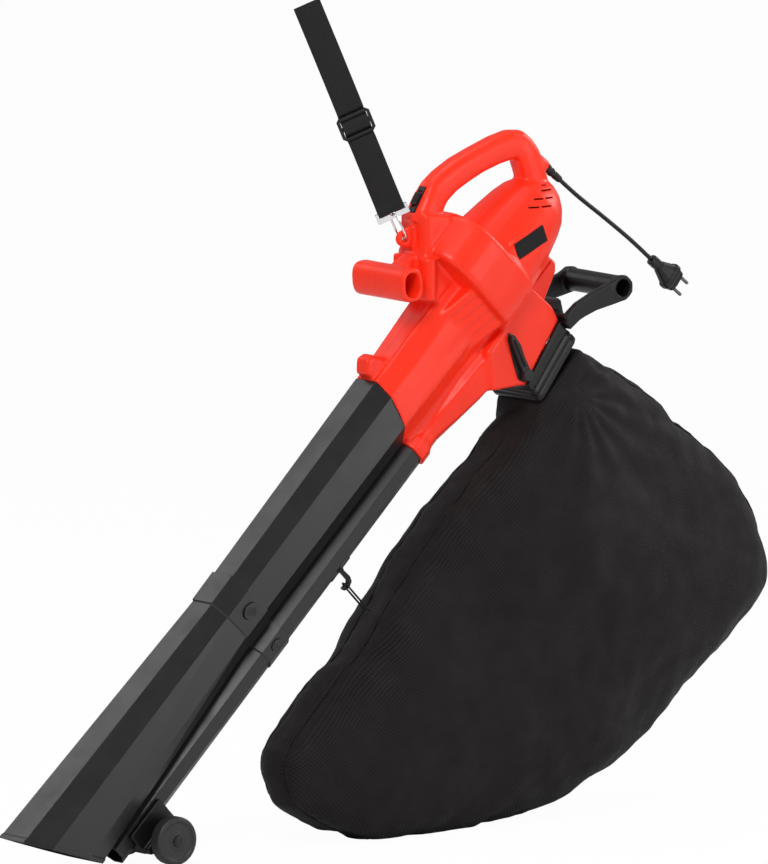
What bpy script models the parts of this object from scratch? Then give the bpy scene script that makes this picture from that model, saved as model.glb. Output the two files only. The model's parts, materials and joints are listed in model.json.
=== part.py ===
# Electric leaf blower vacuum, modelled as an assembly of separate pieces.
# Machine frame, millimetres: X runs from the nozzle (0) up the tubes to the rear, Y is across
# (negative is the operator's left side), Z is square to the tubes, towards the top handle.
# The parent empty tilts that frame into the working pose and puts the origin at the handle grip.

import math

import bmesh
import bpy
from mathutils import Matrix, Vector

MM = 0.001
TILT = math.radians(44.4)
GRIP = Vector((1160, 0, 120))
GAP = 0.3
WALL = 3.0
HALF_GAP = 0.15
MERGE = 0.000004

# Suction tube section, as half widths and heights from the top facet down
SUCTION_SECTION = ((21.8, 50.0), (35.5, 22.5), (39.5, -22.0), (22.0, -47.5))
MOUTH_SECTION = ((27.0, 64.0), (44.0, 30.0), (50.0, -22.0), (38.0, -52.0))
TUBE_WALL = 2.6
TUBE_LOW_SCALE = 0.905
TUBE_TOP_SCALE = 0.975
TUBE_LOW_X = 450
SPIGOT_END_X = 858
JOINT_TOP_X = 830
JOINT_SLANT = 26
COLLAR_X = (438, 486)
MOUTH_TOP_X = 3
MOUTH_SLOPE = 0.53

# Blow tube
BLOW_Z = -75
BLOW_RADIUS = 23.4
BLOW_LOW_X = 98
BLOW_JOINT_X = 806

# Wheels
AXLE_X = 157
AXLE_Z = -111
WHEEL_RADIUS = 33
WHEEL_Y = (44, 64)

# Fan casing, impeller and motor
CASING_X = (1010, 1081)
CASING_HALF_WIDTH = 75
CASING_CENTRE_Z = 31
CASING_HALF_HEIGHT = 82
IMPELLER_RADIUS = 55
IMPELLER_BLADES = 7
BEARING_RADIUS = 11.0
OUTLET_CEILING = -46
IMPELLER_X = (1023, 1058)
SHAFT_RADIUS = 4
CASING_POINTS = 28
INSIDE_POINTS = 16
CHAMBER_POINTS = 20
MOTOR_PROFILE = ((1076, 69), (1108, 66), (1138, 60.5), (1165, 55), (1184, 49), (1200, 39), (1212, 27),
                 (1221, 12))
MOTOR_CENTRE_Z = 3.0
CRADLES = ((1108, 44.4), (1140, 44.4), (1172.5, 42.4))
STATOR_X = (1098, 1148)
STATOR_RADIUS = 44.0
ARMATURE_RADIUS = 26.0
WINDING_SLEEVE = 6.0
BACKPLATE_X = (1064, 1067)
BRACKET_X = (1171, 1174)
BRUSH_X = 1162

# Outlet, diverter and bag frames
OUTLET_HALF_WIDTH = 47
DIVERTER_X = 992
DIVERTER_Z = -121
FLAP_LENGTH = 56
FLAP_REST = math.radians(72)
DIVERTER_SHAFT = 4.5
REAR_GRIP = (1181, -158)
CATCH_PIVOT = (1099, 0, -124)
OUTLET_EDGE = ((984, -134), (1084, -114))
FRAME_LOW_Z = -148
FRAME_SLOPE = 0.15
BAG_FRAME_Z = (-168, -148.3)

THROAT_END_X = 1052

# Handle fittings
EYE = (1006, 138)
EYE_HOLE = 4.8
GRIP_CENTRE = (948, 117)
GRIP_HALF = (18.5, 23.5)
GRIP_LEAN = 40
CORD_EXIT = (1235, 0, 21)
CORD_WAY = Vector((0.13, 0, -0.9915))
RELIEF_NECK = 5.0

# Bag
BAG_HALF_WIDTH = 112
BAG_CENTRE = (770, -400)
BAG_WALL = 2.4
BAG_OUTLINE = ((1085, -190), (1119, -299), (1144, -431), (1151, -553), (1093, -644), (976, -664),
               (848, -656), (703, -628), (585, -573), (482, -490), (397, -393), (335, -284), (348, -206),
               (425, -186), (600, -180), (796, -169), (953, -174))

# Strap, in the plane of the webbing
STRAP_START = Vector((1018.4, 0, 177.7))
STRAP_WAY = Vector((0.3104, 0, 0.9506)).normalized()
STRAP_ACROSS = Vector((0.8446, -0.459, -0.2758)).normalized()
STRAP_OUT = STRAP_WAY.cross(STRAP_ACROSS).normalized()
STRAP_LENGTH = 329
SLIDER_AT = 139
SLIDER_SIZE = (17.4, 24.0, 4.5, 2.3)
HOOK_POINTS = 24
HOOK_START = Vector((EYE[0], 0, EYE[1]))
HOOK_END = STRAP_START - STRAP_WAY * 2.4
HOOK_HALF_LENGTH = (HOOK_END - HOOK_START).length / 2
HOOK_MIDDLE = (HOOK_START + HOOK_END) / 2
HOOK_WAY = (HOOK_END - HOOK_START).normalized()
HOOK_GATE = (-8.0, 10.0)

# Free cord and plug
CORD_ROUTE = ((1239.1, 0, -10.3), (1244.0, 0, -50), (1253.5, 0, -105), (1262.0, 0, -160), (1267.0, 0, -207))
PLUG_WAY = Vector((0.12, 0, -0.9928)).normalized()

# Strap and cord
STRAP_WIDTH = 38
STRAP_THICKNESS = 1.6
CORD_RADIUS = 3.0

RED = ((0.95, 0.06, 0.025, 1.0), 0.35, 0.0)
BLACK = ((0.02, 0.02, 0.021, 1.0), 0.35, 0.0)
DARK = ((0.012, 0.012, 0.012, 1.0), 0.6, 0.0)
FABRIC = ((0.015, 0.013, 0.013, 1.0), 0.95, 0.0)
STEEL = ((0.6, 0.6, 0.6, 1.0), 0.3, 1.0)
COPPER = ((0.72, 0.3, 0.12, 1.0), 0.35, 1.0)
BRASS = ((0.7, 0.5, 0.2, 1.0), 0.35, 1.0)
GREY = ((0.12, 0.12, 0.12, 1.0), 0.5, 0.0)


def clear_scene():
    for item in list(bpy.data.objects):
        bpy.data.objects.remove(item, do_unlink=True)


def finish_of(name, look):
    colour, roughness, metallic = look
    material = bpy.data.materials.new(name + "_finish")
    material.use_nodes = True
    shader = material.node_tree.nodes["Principled BSDF"]
    shader.inputs["Base Color"].default_value = colour
    shader.inputs["Roughness"].default_value = roughness
    shader.inputs["Metallic"].default_value = metallic
    return material


def machine_frame():
    """The empty that carries every piece from the machine frame into the world."""
    empty = bpy.data.objects.new("machine_frame", None)
    bpy.context.scene.collection.objects.link(empty)
    turn = Matrix.Rotation(-TILT, 4, "Y")
    empty.matrix_world = turn @ Matrix.Translation(-GRIP * MM)
    return empty


# Shape tools. Points are in millimetres in the machine frame.


def solid(mesh_data, name="form"):
    mesh_data.normal_update()
    bmesh.ops.triangulate(mesh_data, faces=mesh_data.faces)
    bmesh.ops.recalc_face_normals(mesh_data, faces=mesh_data.faces)
    mesh = bpy.data.meshes.new(name)
    mesh_data.to_mesh(mesh)
    mesh_data.free()
    item = bpy.data.objects.new(name, mesh)
    bpy.context.scene.collection.objects.link(item)
    return item


def loft(rings):
    """A solid through rings of points, closed by a face at each end."""
    data = bmesh.new()
    layers = [[data.verts.new(Vector(point) * MM) for point in ring] for ring in rings]
    count = len(layers[0])
    for first, second in zip(layers, layers[1:]):
        for i in range(count):
            j = (i + 1) % count
            data.faces.new((first[i], first[j], second[j], second[i]))
    data.faces.new(layers[0][::-1])
    data.faces.new(layers[-1])
    return solid(data)


def sleeve(rings):
    """A hollow solid: the rings run up the outside and back down the inside."""
    data = bmesh.new()
    layers = [[data.verts.new(Vector(point) * MM) for point in ring] for ring in rings]
    count = len(layers[0])
    for k, first in enumerate(layers):
        second = layers[(k + 1) % len(layers)]
        for i in range(count):
            j = (i + 1) % count
            data.faces.new((first[i], first[j], second[j], second[i]))
    return solid(data)


def circle(radius, count, start=0.0):
    """Points (y, z) round a circle."""
    step = 2 * math.pi / count
    angles = [start + i * step for i in range(count)]
    return [(radius * math.cos(angle), radius * math.sin(angle)) for angle in angles]


def rounded(half_y, half_z, power, count):
    """Points (y, z) of a superellipse."""
    points = []
    for i in range(count):
        angle = 2 * math.pi * (i + 0.5) / count
        c = math.cos(angle)
        s = math.sin(angle)
        y = math.copysign(abs(c) ** (2 / power), c) * half_y
        z = math.copysign(abs(s) ** (2 / power), s) * half_z
        points.append((y, z))
    return points


def both_sides(half):
    """A closed outline (y, z) from half widths listed from the top down."""
    return [(-y, z) for y, z in half] + [(y, z) for y, z in reversed(half)]


def inset(points, distance):
    """A convex outline moved inwards by a distance."""
    count = len(points)
    area = sum(points[i][0] * points[(i + 1) % count][1] - points[(i + 1) % count][0] * points[i][1]
               for i in range(count))
    side = 1.0 if area > 0 else -1.0
    moved = []
    for i in range(count):
        before = Vector(points[i - 1])
        here = Vector(points[i])
        after = Vector(points[(i + 1) % count])
        first = (here - before).normalized()
        second = (after - here).normalized()
        normal_a = Vector((-first.y, first.x)) * side
        normal_b = Vector((-second.y, second.x)) * side
        middle = (normal_a + normal_b).normalized()
        moved.append(tuple(here + middle * (distance / max(0.3, middle.dot(normal_a)))))
    return moved


def ring_at(x, points, centre=(0.0, 0.0)):
    return [(x, y + centre[0], z + centre[1]) for y, z in points]


def turned_x(profile, count, centre=(0.0, 0.0)):
    """A solid turned about the X direction from (x, radius) pairs."""
    return loft([ring_at(x, circle(radius, count), centre) for x, radius in profile])


def hollow_x(profile, count, centre=(0.0, 0.0)):
    """A turned sleeve: the (x, radius) pairs run round its wall."""
    return sleeve([ring_at(x, circle(radius, count), centre) for x, radius in profile])


def turned_y(profile, count, x, z):
    """A solid turned about the Y direction from (y, radius) pairs."""
    rings = [[(x + a, y, z + b) for a, b in circle(radius, count)] for y, radius in profile]
    return loft(rings)


def hollow_y(profile, count, x, z):
    rings = [[(x + a, y, z + b) for a, b in circle(radius, count)] for y, radius in profile]
    return sleeve(rings)


def rod(start, end, radius, count=12):
    start = Vector(start)
    end = Vector(end)
    axis = (end - start).normalized()
    across = axis.cross(Vector((0, 1, 0)) if abs(axis.y) < 0.9 else Vector((1, 0, 0))).normalized()
    other = axis.cross(across)
    rings = [[tuple(centre + across * a + other * b) for a, b in circle(radius, count)]
             for centre in (start, end)]
    return loft(rings)


def plate_y(outline, y0, y1):
    """An outline (x, z) drawn out along Y."""
    return loft([[(x, y, z) for x, z in outline] for y in (y0, y1)])


def block(x, y, z):
    """A box from three pairs of limits."""
    return plate_y([(x[0], z[0]), (x[1], z[0]), (x[1], z[1]), (x[0], z[1])], y[0], y[1])


def combine(target, tool, operation):
    """Applies an exact Boolean to the target and removes the tool."""
    step = target.modifiers.new("step", "BOOLEAN")
    step.operation = operation
    step.solver = "EXACT"
    step.object = tool
    bpy.context.view_layer.update()
    result = bpy.data.meshes.new_from_object(target.evaluated_get(bpy.context.evaluated_depsgraph_get()))
    target.modifiers.clear()
    target.data = result
    data = bmesh.new()
    data.from_mesh(result)
    bmesh.ops.remove_doubles(data, verts=data.verts, dist=MERGE)
    bmesh.ops.dissolve_degenerate(data, edges=data.edges, dist=MERGE)
    data.to_mesh(result)
    data.free()
    bpy.data.objects.remove(tool, do_unlink=True)
    return target


def flattened(item):
    """Joins the triangles of each flat face again and splits them anew."""
    data = bmesh.new()
    data.from_mesh(item.data)
    bmesh.ops.dissolve_limit(data, angle_limit=math.radians(0.05), verts=data.verts, edges=data.edges,
                             delimit={"NORMAL"})
    bmesh.ops.triangulate(data, faces=data.faces)
    data.to_mesh(item.data)
    data.free()
    return item


def union(first, *others):
    for other in others:
        combine(first, other, "UNION")
    return first


def cut(first, *tools):
    for tool in tools:
        combine(first, tool, "DIFFERENCE")
    return first


def mirrored(item):
    """A copy of a solid on the other side of the middle plane."""
    data = bmesh.new()
    data.from_mesh(item.data)
    bmesh.ops.scale(data, vec=Vector((1, -1, 1)), verts=data.verts)
    return solid(data)


class Assembly:
    """Names the finished pieces and hangs them on the machine frame."""

    def __init__(self):
        self.root = machine_frame()

    def add(self, name, item, look, origin=(0, 0, 0), smooth=35):
        item.name = name
        item.data.name = name
        item.data.materials.clear()
        item.data.materials.append(finish_of(name, look))
        point = Vector(origin) * MM
        item.data.transform(Matrix.Translation(-point))
        item.data.shade_smooth()
        item.data.set_sharp_from_angle(angle=math.radians(smooth))
        item.parent = self.root
        item.location = point
        return item


# Suction tube and nozzle


def suction_section(scale=1.0, inwards=0.0):
    points = [(y * scale, z * scale) for y, z in both_sides(SUCTION_SECTION)]
    return inset(points, inwards)


def tube_scale(x):
    """The tube widens evenly from its lower end to the joint."""
    share = (x - TUBE_LOW_X) / (JOINT_TOP_X - JOINT_SLANT - TUBE_LOW_X)
    return TUBE_LOW_SCALE + (TUBE_TOP_SCALE - TUBE_LOW_SCALE) * share


def joint_x(z, offset=0.0):
    """The curved line where the black tube meets the red duct."""
    drop = max(0.0, (50.0 - z) / 91.0)
    return JOINT_TOP_X - JOINT_SLANT * drop ** 1.6 + offset


def joint_ring(points, offset=0.0):
    return [(joint_x(z, offset), y, z) for y, z in points]


def upper_suction_tube():
    spigot = WALL + GAP
    inner = spigot + 2.2
    top = TUBE_TOP_SCALE
    return sleeve([
        ring_at(TUBE_LOW_X, suction_section(TUBE_LOW_SCALE)),
        joint_ring(suction_section(top), -0.5),
        joint_ring(suction_section(top, spigot), -0.5),
        ring_at(SPIGOT_END_X, suction_section(top, spigot)),
        ring_at(SPIGOT_END_X, suction_section(top, inner)),
        joint_ring(suction_section(top, inner), -0.5),
        ring_at(TUBE_LOW_X, suction_section(TUBE_LOW_SCALE, TUBE_WALL)),
    ])


def mouth_ring(points, offset=0.0):
    return [(MOUTH_TOP_X + MOUTH_SLOPE * (MOUTH_SECTION[0][1] - z) + offset, y, z) for y, z in points]


def suction_nozzle():
    low = TUBE_LOW_SCALE
    mouth = both_sides(MOUTH_SECTION)
    return sleeve([
        ring_at(COLLAR_X[1], suction_section(tube_scale(COLLAR_X[1]), -2.4)),
        ring_at(COLLAR_X[0], suction_section(low, -2.4)),
        ring_at(COLLAR_X[0] - 2, suction_section(low, -0.6)),
        mouth_ring(inset(mouth, 1.2), 9),
        mouth_ring(mouth, 6),
        mouth_ring(mouth),
        mouth_ring(inset(mouth, 3.6)),
        ring_at(COLLAR_X[0] - 4, suction_section(low, TUBE_WALL)),
        ring_at(TUBE_LOW_X - 2, suction_section(low, TUBE_WALL)),
        ring_at(TUBE_LOW_X - 1, suction_section(low, -GAP)),
        ring_at(COLLAR_X[1], suction_section(tube_scale(COLLAR_X[1]), -GAP)),
    ])


def oval_y(x, z, long_radius, short_radius, y0, y1, count=16):
    points = [(x + a * long_radius, z + b * short_radius) for a, b in circle(1.0, count)]
    return plate_y(points, y0, y1)


LATCHES = {
    "suction_latch": (466, 0.0, 12.5, 9.5, 28.0, 39.4),
    "blow_latch": (468, BLOW_Z, 9.0, 5.6, 14.5, 25.4),
}


def latch(spec, grow=0.0):
    """A snap button: an oval head with a wider foot behind the tube wall."""
    x, z, long_radius, short_radius, y_in, y_out = spec
    head = oval_y(x, z, long_radius + grow, short_radius + grow, -y_out - grow, -y_in)
    if grow:
        return head
    foot = oval_y(x, z, long_radius + 4, short_radius + 2, -y_in - 1.4, -y_in + 0.6)
    return union(head, foot)


def latch_windows(kind):
    """The cutters for both windows of one kind of latch."""
    left = latch(LATCHES[kind], 0.6)
    return left, mirrored(left)


# Blow tube and wheels


def blow_section(inwards=0.0):
    return circle(BLOW_RADIUS - inwards, 8, math.pi / 8)


def blow_ring(x, inwards=0.0):
    return ring_at(x, blow_section(inwards), (0.0, BLOW_Z))


def upper_blow_tube():
    return sleeve([
        blow_ring(450, 0.4), blow_ring(BLOW_JOINT_X, 0.4), blow_ring(BLOW_JOINT_X, WALL + GAP),
        blow_ring(835, WALL + GAP), blow_ring(835, WALL + 2.2), blow_ring(450, WALL + 2.2),
    ])


def lower_blow_tube():
    return sleeve([
        blow_ring(490, -2.2), blow_ring(445, -2.2), blow_ring(443, -0.3), blow_ring(BLOW_LOW_X, -0.3),
        blow_ring(BLOW_LOW_X, 2.2), blow_ring(440, 2.2), blow_ring(449, 3.0), blow_ring(449.2, 0.1),
        blow_ring(490, 0.1),
    ])


def wheel_bracket():
    """A saddle clipped under the tube end, with an ear for the axle."""
    ear = [(128, -98), (186, -98), (188, -106), (176, -122), (160, -127), (146, -124), (126, -108)]
    body = plate_y(ear, -36, 36)
    saddle = plate_y([(124, -70), (192, -70), (192, -106), (124, -106)], -28, 28)
    union(body, saddle)
    clearance = BLOW_RADIUS + 0.3 + GAP
    channel = loft([ring_at(x, circle(clearance, 8, math.pi / 8), (0.0, BLOW_Z)) for x in (110, 200)])
    bore = rod((AXLE_X, -50, AXLE_Z), (AXLE_X, 50, AXLE_Z), 4.0 + GAP, 16)
    return cut(body, channel, bore)


def wheel(side):
    near, far = WHEEL_Y
    rim = WHEEL_RADIUS
    profile = [(near, rim - 3), (near + 2.5, rim), (far - 2.5, rim), (far, rim - 3), (far, rim - 6.5),
               (far - 2.4, rim - 8), (far - 2.4, 13), (far - 0.6, 11.5), (far - 0.6, 4.0 + GAP),
               (near, 4.0 + GAP)]
    if side < 0:
        profile = [(-y, radius) for y, radius in profile]
    return hollow_y(profile, 24, AXLE_X, AXLE_Z)


def axle_cap(side):
    far = WHEEL_Y[1]
    profile = [(side * (far - 0.3), 8.0), (side * (far + 1.2), 7.6), (side * (far + 2.2), 5.0)]
    cap = turned_y(profile, 16, AXLE_X, AXLE_Z)
    return cap


# Housing


def casing_section(inwards, count):
    """The fan casing seen from the front: round above, squarer below."""
    points = []
    for i in range(count):
        angle = 2 * math.pi * (i + 0.5) / count
        c = math.cos(angle)
        s = math.sin(angle)
        power = 2.7 if s > 0 else 4.2
        y = math.copysign(abs(c) ** (2 / power), c) * (CASING_HALF_WIDTH - inwards)
        z = math.copysign(abs(s) ** (2 / power), s) * (CASING_HALF_HEIGHT - inwards)
        points.append((y, z))
    return points


def fan_casing():
    x0, x1 = CASING_X
    centre = (0.0, CASING_CENTRE_Z)
    steps = ((x0, 5.0), (x0 + 2, 1.4), (x0 + 5, 0.0), (x1 - 5, 0.0), (x1 - 2, 1.4), (x1, 5.0))
    return loft([ring_at(x, casing_section(inwards, CASING_POINTS), centre) for x, inwards in steps])


def fan_chamber():
    centre = (0.0, CASING_CENTRE_Z)
    section = casing_section(WALL, CHAMBER_POINTS)
    return loft([ring_at(x, section, centre) for x in (CASING_X[0] + WALL, CASING_X[1] - WALL)])


def motor_cover():
    return loft([ring_at(x, circle(radius, 24), (0.0, MOTOR_CENTRE_Z)) for x, radius in MOTOR_PROFILE])


def motor_chamber():
    """The inside of the motor cover, drawn in at the cradle ribs that hold the motor."""
    outline = [(x - WALL, radius - WALL) for x, radius in MOTOR_PROFILE]
    steps = [(outline[0][0], outline[0][1], MOTOR_CENTRE_Z)]
    for rib_x, rib_radius in CRADLES:
        steps.append((rib_x - 3, radius_at(outline, rib_x - 3), MOTOR_CENTRE_Z))
        steps.append((rib_x - 2, rib_radius, 0.0))
        steps.append((rib_x + 2, rib_radius, 0.0))
        steps.append((rib_x + 3, radius_at(outline, rib_x + 3), MOTOR_CENTRE_Z))
    steps += [(x, radius, MOTOR_CENTRE_Z) for x, radius in outline[5:]]
    return loft([ring_at(x, circle(radius, INSIDE_POINTS), (0.0, z)) for x, radius, z in steps])


def radius_at(profile, x):
    for (x0, r0), (x1, r1) in zip(profile, profile[1:]):
        if x0 <= x <= x1:
            return r0 + (r1 - r0) * (x - x0) / (x1 - x0)
    return profile[-1][1]


def suction_duct(inwards=0.0):
    wide = both_sides(((27.0, 53.0), (39.0, 32.0), (43.0, 4.0), (42.0, -24.0), (36.0, -40.0),
                       (24.0, -49.0)))
    start = both_sides(((21.3, 48.8), (34.6, 21.9), (36.6, 0.2), (38.5, -21.4), (30.0, -33.9),
                        (21.5, -46.3)))
    if inwards:
        first = ring_at(790, inset(start, inwards))
        last = ring_at(CASING_X[0] + 6, inset(wide, inwards))
    else:
        first = joint_ring(start)
        last = ring_at(CASING_X[0] + 2, wide)
    return loft([first, ring_at(905, inset(start, inwards - 2.0)), last])


def blow_duct(inwards=0.0):
    """The duct that grows from the round blow tube to the width of the outlet."""
    start_x = BLOW_JOINT_X + (-10 if inwards else 0.2)
    rings = []
    for x, half_width, top, low, power in ((start_x, 0, 0, 0, 0), (845, 0, 0, 0, 0),
                                           (882, 31, -51, -101, 2.8), (925, 39, -50, -104, 3.6),
                                           (986, 45, -50, -106, 4.6)):
        if not power:
            rings.append([(x, y, z + BLOW_Z) for y, z in circle(BLOW_RADIUS - inwards, 8, math.pi / 8)])
            continue
        middle = (top + low) / 2
        half_height = (top - low) / 2 - inwards
        rings.append([(x, y, z + middle) for y, z in rounded(half_width - inwards, half_height, power, 8)])
    return loft(rings)


def outlet_box(inwards=0.0):
    outline = [(940, -97), *OUTLET_EDGE, (1090, -94), (1083, -28), (1016, -28), (1012, -50), (972, -52)]
    half = OUTLET_HALF_WIDTH - inwards
    points = inset(outline, inwards) if inwards else outline
    soft = 3.0
    rings = []
    for y, extra in ((-half, soft), (-half + soft, 0.0), (half - soft, 0.0), (half, soft)):
        shape = inset(points, extra) if extra else points
        rings.append([(x, y, z) for x, z in shape])
    return loft(rings)


HANDLE_OUTER = ((1030, 149.5), (1044, 155), (1064, 160.6), (1085, 165), (1108, 162), (1137, 153.5),
                (1167, 140.5), (1202, 124), (1227, 109), (1241, 93), (1243.5, 74), (1241, 54), (1234, 36),
                (1224, 16), (1214, 0))
HANDLE_INNER = ((1040, 100), (1050, 112), (1068, 118), (1088, 121), (1108, 119), (1132, 111.5),
                (1156, 102.5), (1182, 89), (1202, 76), (1206, 72), (1201, 62), (1196, 52), (1189, 38),
                (1180, 20), (1172, 4))
HANDLE_HALF_WIDTH = 17.0


def handle_form(inwards=0.0):
    rings = []
    last = len(HANDLE_OUTER) - 1
    for k, (outer, inner) in enumerate(zip(HANDLE_OUTER, HANDLE_INNER)):
        if inwards and (k in (0, last) or k % 2):
            continue
        top = Vector(outer)
        low = Vector(inner)
        middle = (top + low) / 2
        up = (top - low).normalized()
        half = (top - low).length / 2 - inwards
        width = HANDLE_HALF_WIDTH + (4.0 if k < 3 else 0.0) + (2.0 if k > 9 else 0.0) - inwards
        ring = []
        for y, z in rounded(width, half, 3.0, 8 if inwards else 14):
            point = middle + up * z
            ring.append((point.x, y, point.y))
        rings.append(ring)
    return loft(rings)


def front_block(inwards=0.0):
    """The foot of the handle, above the suction duct."""
    outline = [(968, 48), (980, 96), (998, 112), (1016, 125), (1028, 138), (1041, 152), (1072, 114),
               (1083, 104), (1083, 40)]
    points = inset(outline, inwards) if inwards else outline
    rings = []
    for y, extra in ((-30, 6.0), (-27, 2.0), (-20, 0.0), (20, 0.0), (27, 2.0), (30, 6.0)):
        side = math.copysign(max(abs(y) - inwards, 1.0), y)
        shape = inset(points, extra) if extra else points
        rings.append([(x, side, z) for x, z in shape])
    return loft(rings)


def catch_lug():
    """The raised wedge on top of the duct, over the tube joint."""
    side = [(831, 44), (831, 53), (830, 62), (845, 76), (857, 72), (868, 50), (868, 44)]
    return loft([[(x, y, z) for x, z in inset(side, extra)] for y, extra in
                 ((-13, 3.0), (-10, 0.2), (10, 0.2), (13, 3.0))])


def rear_lug():
    outline = [(1078, -40), (1080, -92), (1094, -90), (1112, -84), (1134, -77), (1145, -66), (1142, -52),
               (1128, -40)]
    return loft([[(x, y, z) for x, z in inset(outline, extra)] for y, extra in
                 ((-30, 4.0), (-26, 0.1), (26, 0.1), (30, 4.0))])


def strap_eye():
    """The eye for the strap's hook, on a lug that stands out from the foot of the handle."""
    lug = plate_y([(997, 131), (1009, 114), (1034, 138), (1015, 146)], -4.6, 4.6)
    return union(lug, turned_y(((-5.8, 9.4), (-4.2, 11.4), (4.2, 11.4), (5.8, 9.4)), 18, *EYE))


def grip_boss(side):
    """The upright screw boss beside the front grip."""
    lean = Vector((math.sin(TILT), 0, math.cos(TILT)))
    top = Vector((1003, side * 30, 106))
    return rod(top, top - lean * 58, 11.0, 14)


def front_grip():
    """The moulded guide grip across the front, open at both ends."""
    return loft([grip_ring(-57, 1.5), grip_ring(-55, 0.0), grip_ring(55, 0.0), grip_ring(57, 1.5)])


def grip_ring(y, inwards):
    lean = math.radians(GRIP_LEAN)
    ring = []
    for a, b in rounded(GRIP_HALF[0] - inwards, GRIP_HALF[1] - inwards, 2.8, 20):
        x = GRIP_CENTRE[0] + a * math.cos(lean) + b * math.sin(lean)
        z = GRIP_CENTRE[1] - a * math.sin(lean) + b * math.cos(lean)
        ring.append((x, y, z))
    return ring


def cord_outlet():
    """The boss on the back of the handle that the cord leaves by."""
    start = Vector(CORD_EXIT) - CORD_WAY * 26
    return rod(start, CORD_EXIT, 9.0, 14)


def casing_shoulder(side):
    """The slanted shoulder between the duct and the front wall of the fan casing."""
    outline = [(956, 33.0), (956, 20), (1012.5, 20), (1012.5, 60)]
    rings = [[(x, side * y, z) for x, y in inset(outline, extra)] for z, extra in
             ((-38, 2.0), (-36, 0.0), (36, 0.0), (38, 2.0))]
    return loft(rings)


def casing_rib(z, side):
    """One of the low ribs that run over the shoulder."""
    outline = [(950.5, 33.0), (1012.5, 33.0), (1012.5, 62.3)]
    rings = [[(x, side * y, z + dz) for x, y in outline] for dz in (-2.4, 2.4)]
    return loft(rings)


def grip_neck():
    outline = [(989, 76), (999, 116), (977, 122), (955, 123), (944, 108), (965, 89)]
    return loft([[(x, y, z) for x, z in inset(outline, extra)] for y, extra in
                 ((-14, 3.0), (-11, 0.1), (11, 0.1), (14, 3.0))])


def duct_web():
    """The solid web between the two ducts."""
    rings = []
    for x, half_low, half_high in ((812, 17, 19), (905, 25, 23), (1012, 38, 34)):
        rings.append([(x, -half_low, -62), (x, half_low, -62), (x, half_high, -42), (x, -half_high, -42)])
    return loft(rings)


def duct_lip():
    """The flange round the mouth of the blow duct."""
    return loft([blow_ring(BLOW_JOINT_X + 0.3, -4.0), blow_ring(BLOW_JOINT_X + 20, -4.0),
                 blow_ring(BLOW_JOINT_X + 26, -0.4)])


SCREWS = {
    "handle": (1223, 89, 15.0),
    "grip": (1120, 138, 15.5),
    "duct": (900, -50, 11.0),
    "rear": (1122, -66, 27.0),
}
SCREW_RADIUS = 1.7
SCREW_HEAD_RADIUS = 3.4


def screw_boss(x, z, depth):
    return rod((x, -depth, z), (x, depth, z), 5.0, 8)


def screw(x, z, depth):
    """A pan-head screw from the right side into the left half's boss."""
    head_y = depth - 3.0
    profile = [(-7.0, 0.8), (-5.0, SCREW_RADIUS), (head_y - 2.2, SCREW_RADIUS),
               (head_y - 2.2, SCREW_HEAD_RADIUS), (head_y - 0.8, SCREW_HEAD_RADIUS), (head_y, 2.0)]
    return turned_y(profile, 8, x, z)


def screw_hole(x, z, depth):
    head_y = depth - 3.0
    profile = [(-8.0, SCREW_RADIUS + GAP), (head_y - 2.2 - GAP, SCREW_RADIUS + GAP),
               (head_y - 2.2 - GAP, SCREW_HEAD_RADIUS + GAP), (depth + 22.0, SCREW_HEAD_RADIUS + GAP)]
    return turned_y(profile, 8, x, z)


VENT_ROWS = ((1203, 25, 11), (1199, 20.5, 22), (1184, 22, 34), (1169.5, 22, 38))
LABEL_CENTRE = (1119, 9)
LABEL_SIZE = (59, 23)
LABEL_TURN = math.radians(-23.5)
LABEL_TILT = math.radians(7.4)
LABEL_FLOOR_Y = -60.6


def turned_box(centre, angle, length, height, y0, y1):
    c = math.cos(angle)
    s = math.sin(angle)
    corners = ((-length / 2, -height / 2), (length / 2, -height / 2), (length / 2, height / 2),
               (-length / 2, height / 2))
    outline = [(centre[0] + a * c - b * s, centre[1] + a * s + b * c) for a, b in corners]
    return plate_y(outline, y0, y1)


def label_box(out, margin=0.0):
    """A box on the plane of the label, which follows the taper of the motor cover."""
    c = math.cos(LABEL_TURN)
    s = math.sin(LABEL_TURN)
    along = Vector((c * math.cos(LABEL_TILT), math.sin(LABEL_TILT), s * math.cos(LABEL_TILT)))
    across = Vector((-s, 0, c))
    up = along.cross(across)
    if up.y > 0:
        up.negate()
    centre = Vector((LABEL_CENTRE[0], LABEL_FLOOR_Y, LABEL_CENTRE[1]))
    half_a = LABEL_SIZE[0] / 2 + margin
    half_b = LABEL_SIZE[1] / 2 + margin
    rings = []
    for level in out:
        rings.append([tuple(centre + along * a + across * b + up * level) for a, b in
                      ((-half_a, -half_b), (half_a, -half_b), (half_a, half_b), (-half_a, half_b))])
    return loft(rings)


def vent_cutters(side):
    """Rows of slots that lie level when the machine is held at work."""
    cutters = []
    for x, z, length in VENT_ROWS:
        pieces = 1 if length < 24 else 2
        for k in range(pieces):
            part = (length - 3 * (pieces - 1)) / pieces
            shift = (k - (pieces - 1) / 2) * (part + 3)
            centre = (x + shift * math.cos(TILT), z - shift * math.sin(TILT))
            cutters.append(turned_box(centre, -TILT, part, 2.2, side * 20, side * 80))
    return cutters


SWITCH_CENTRE = Vector((1059, 158.4))
SWITCH_TURN = math.radians(13.5)


def switch_point(along, up):
    c = math.cos(SWITCH_TURN)
    s = math.sin(SWITCH_TURN)
    return (SWITCH_CENTRE.x + along * c - up * s, SWITCH_CENTRE.y + along * s + up * c)


def switch_block(along, half_width, up):
    outline = [switch_point(a, u) for a, u in
               ((along[0], up[0]), (along[1], up[0]), (along[1], up[1]), (along[0], up[1]))]
    return plate_y(outline, -half_width, half_width)


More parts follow.
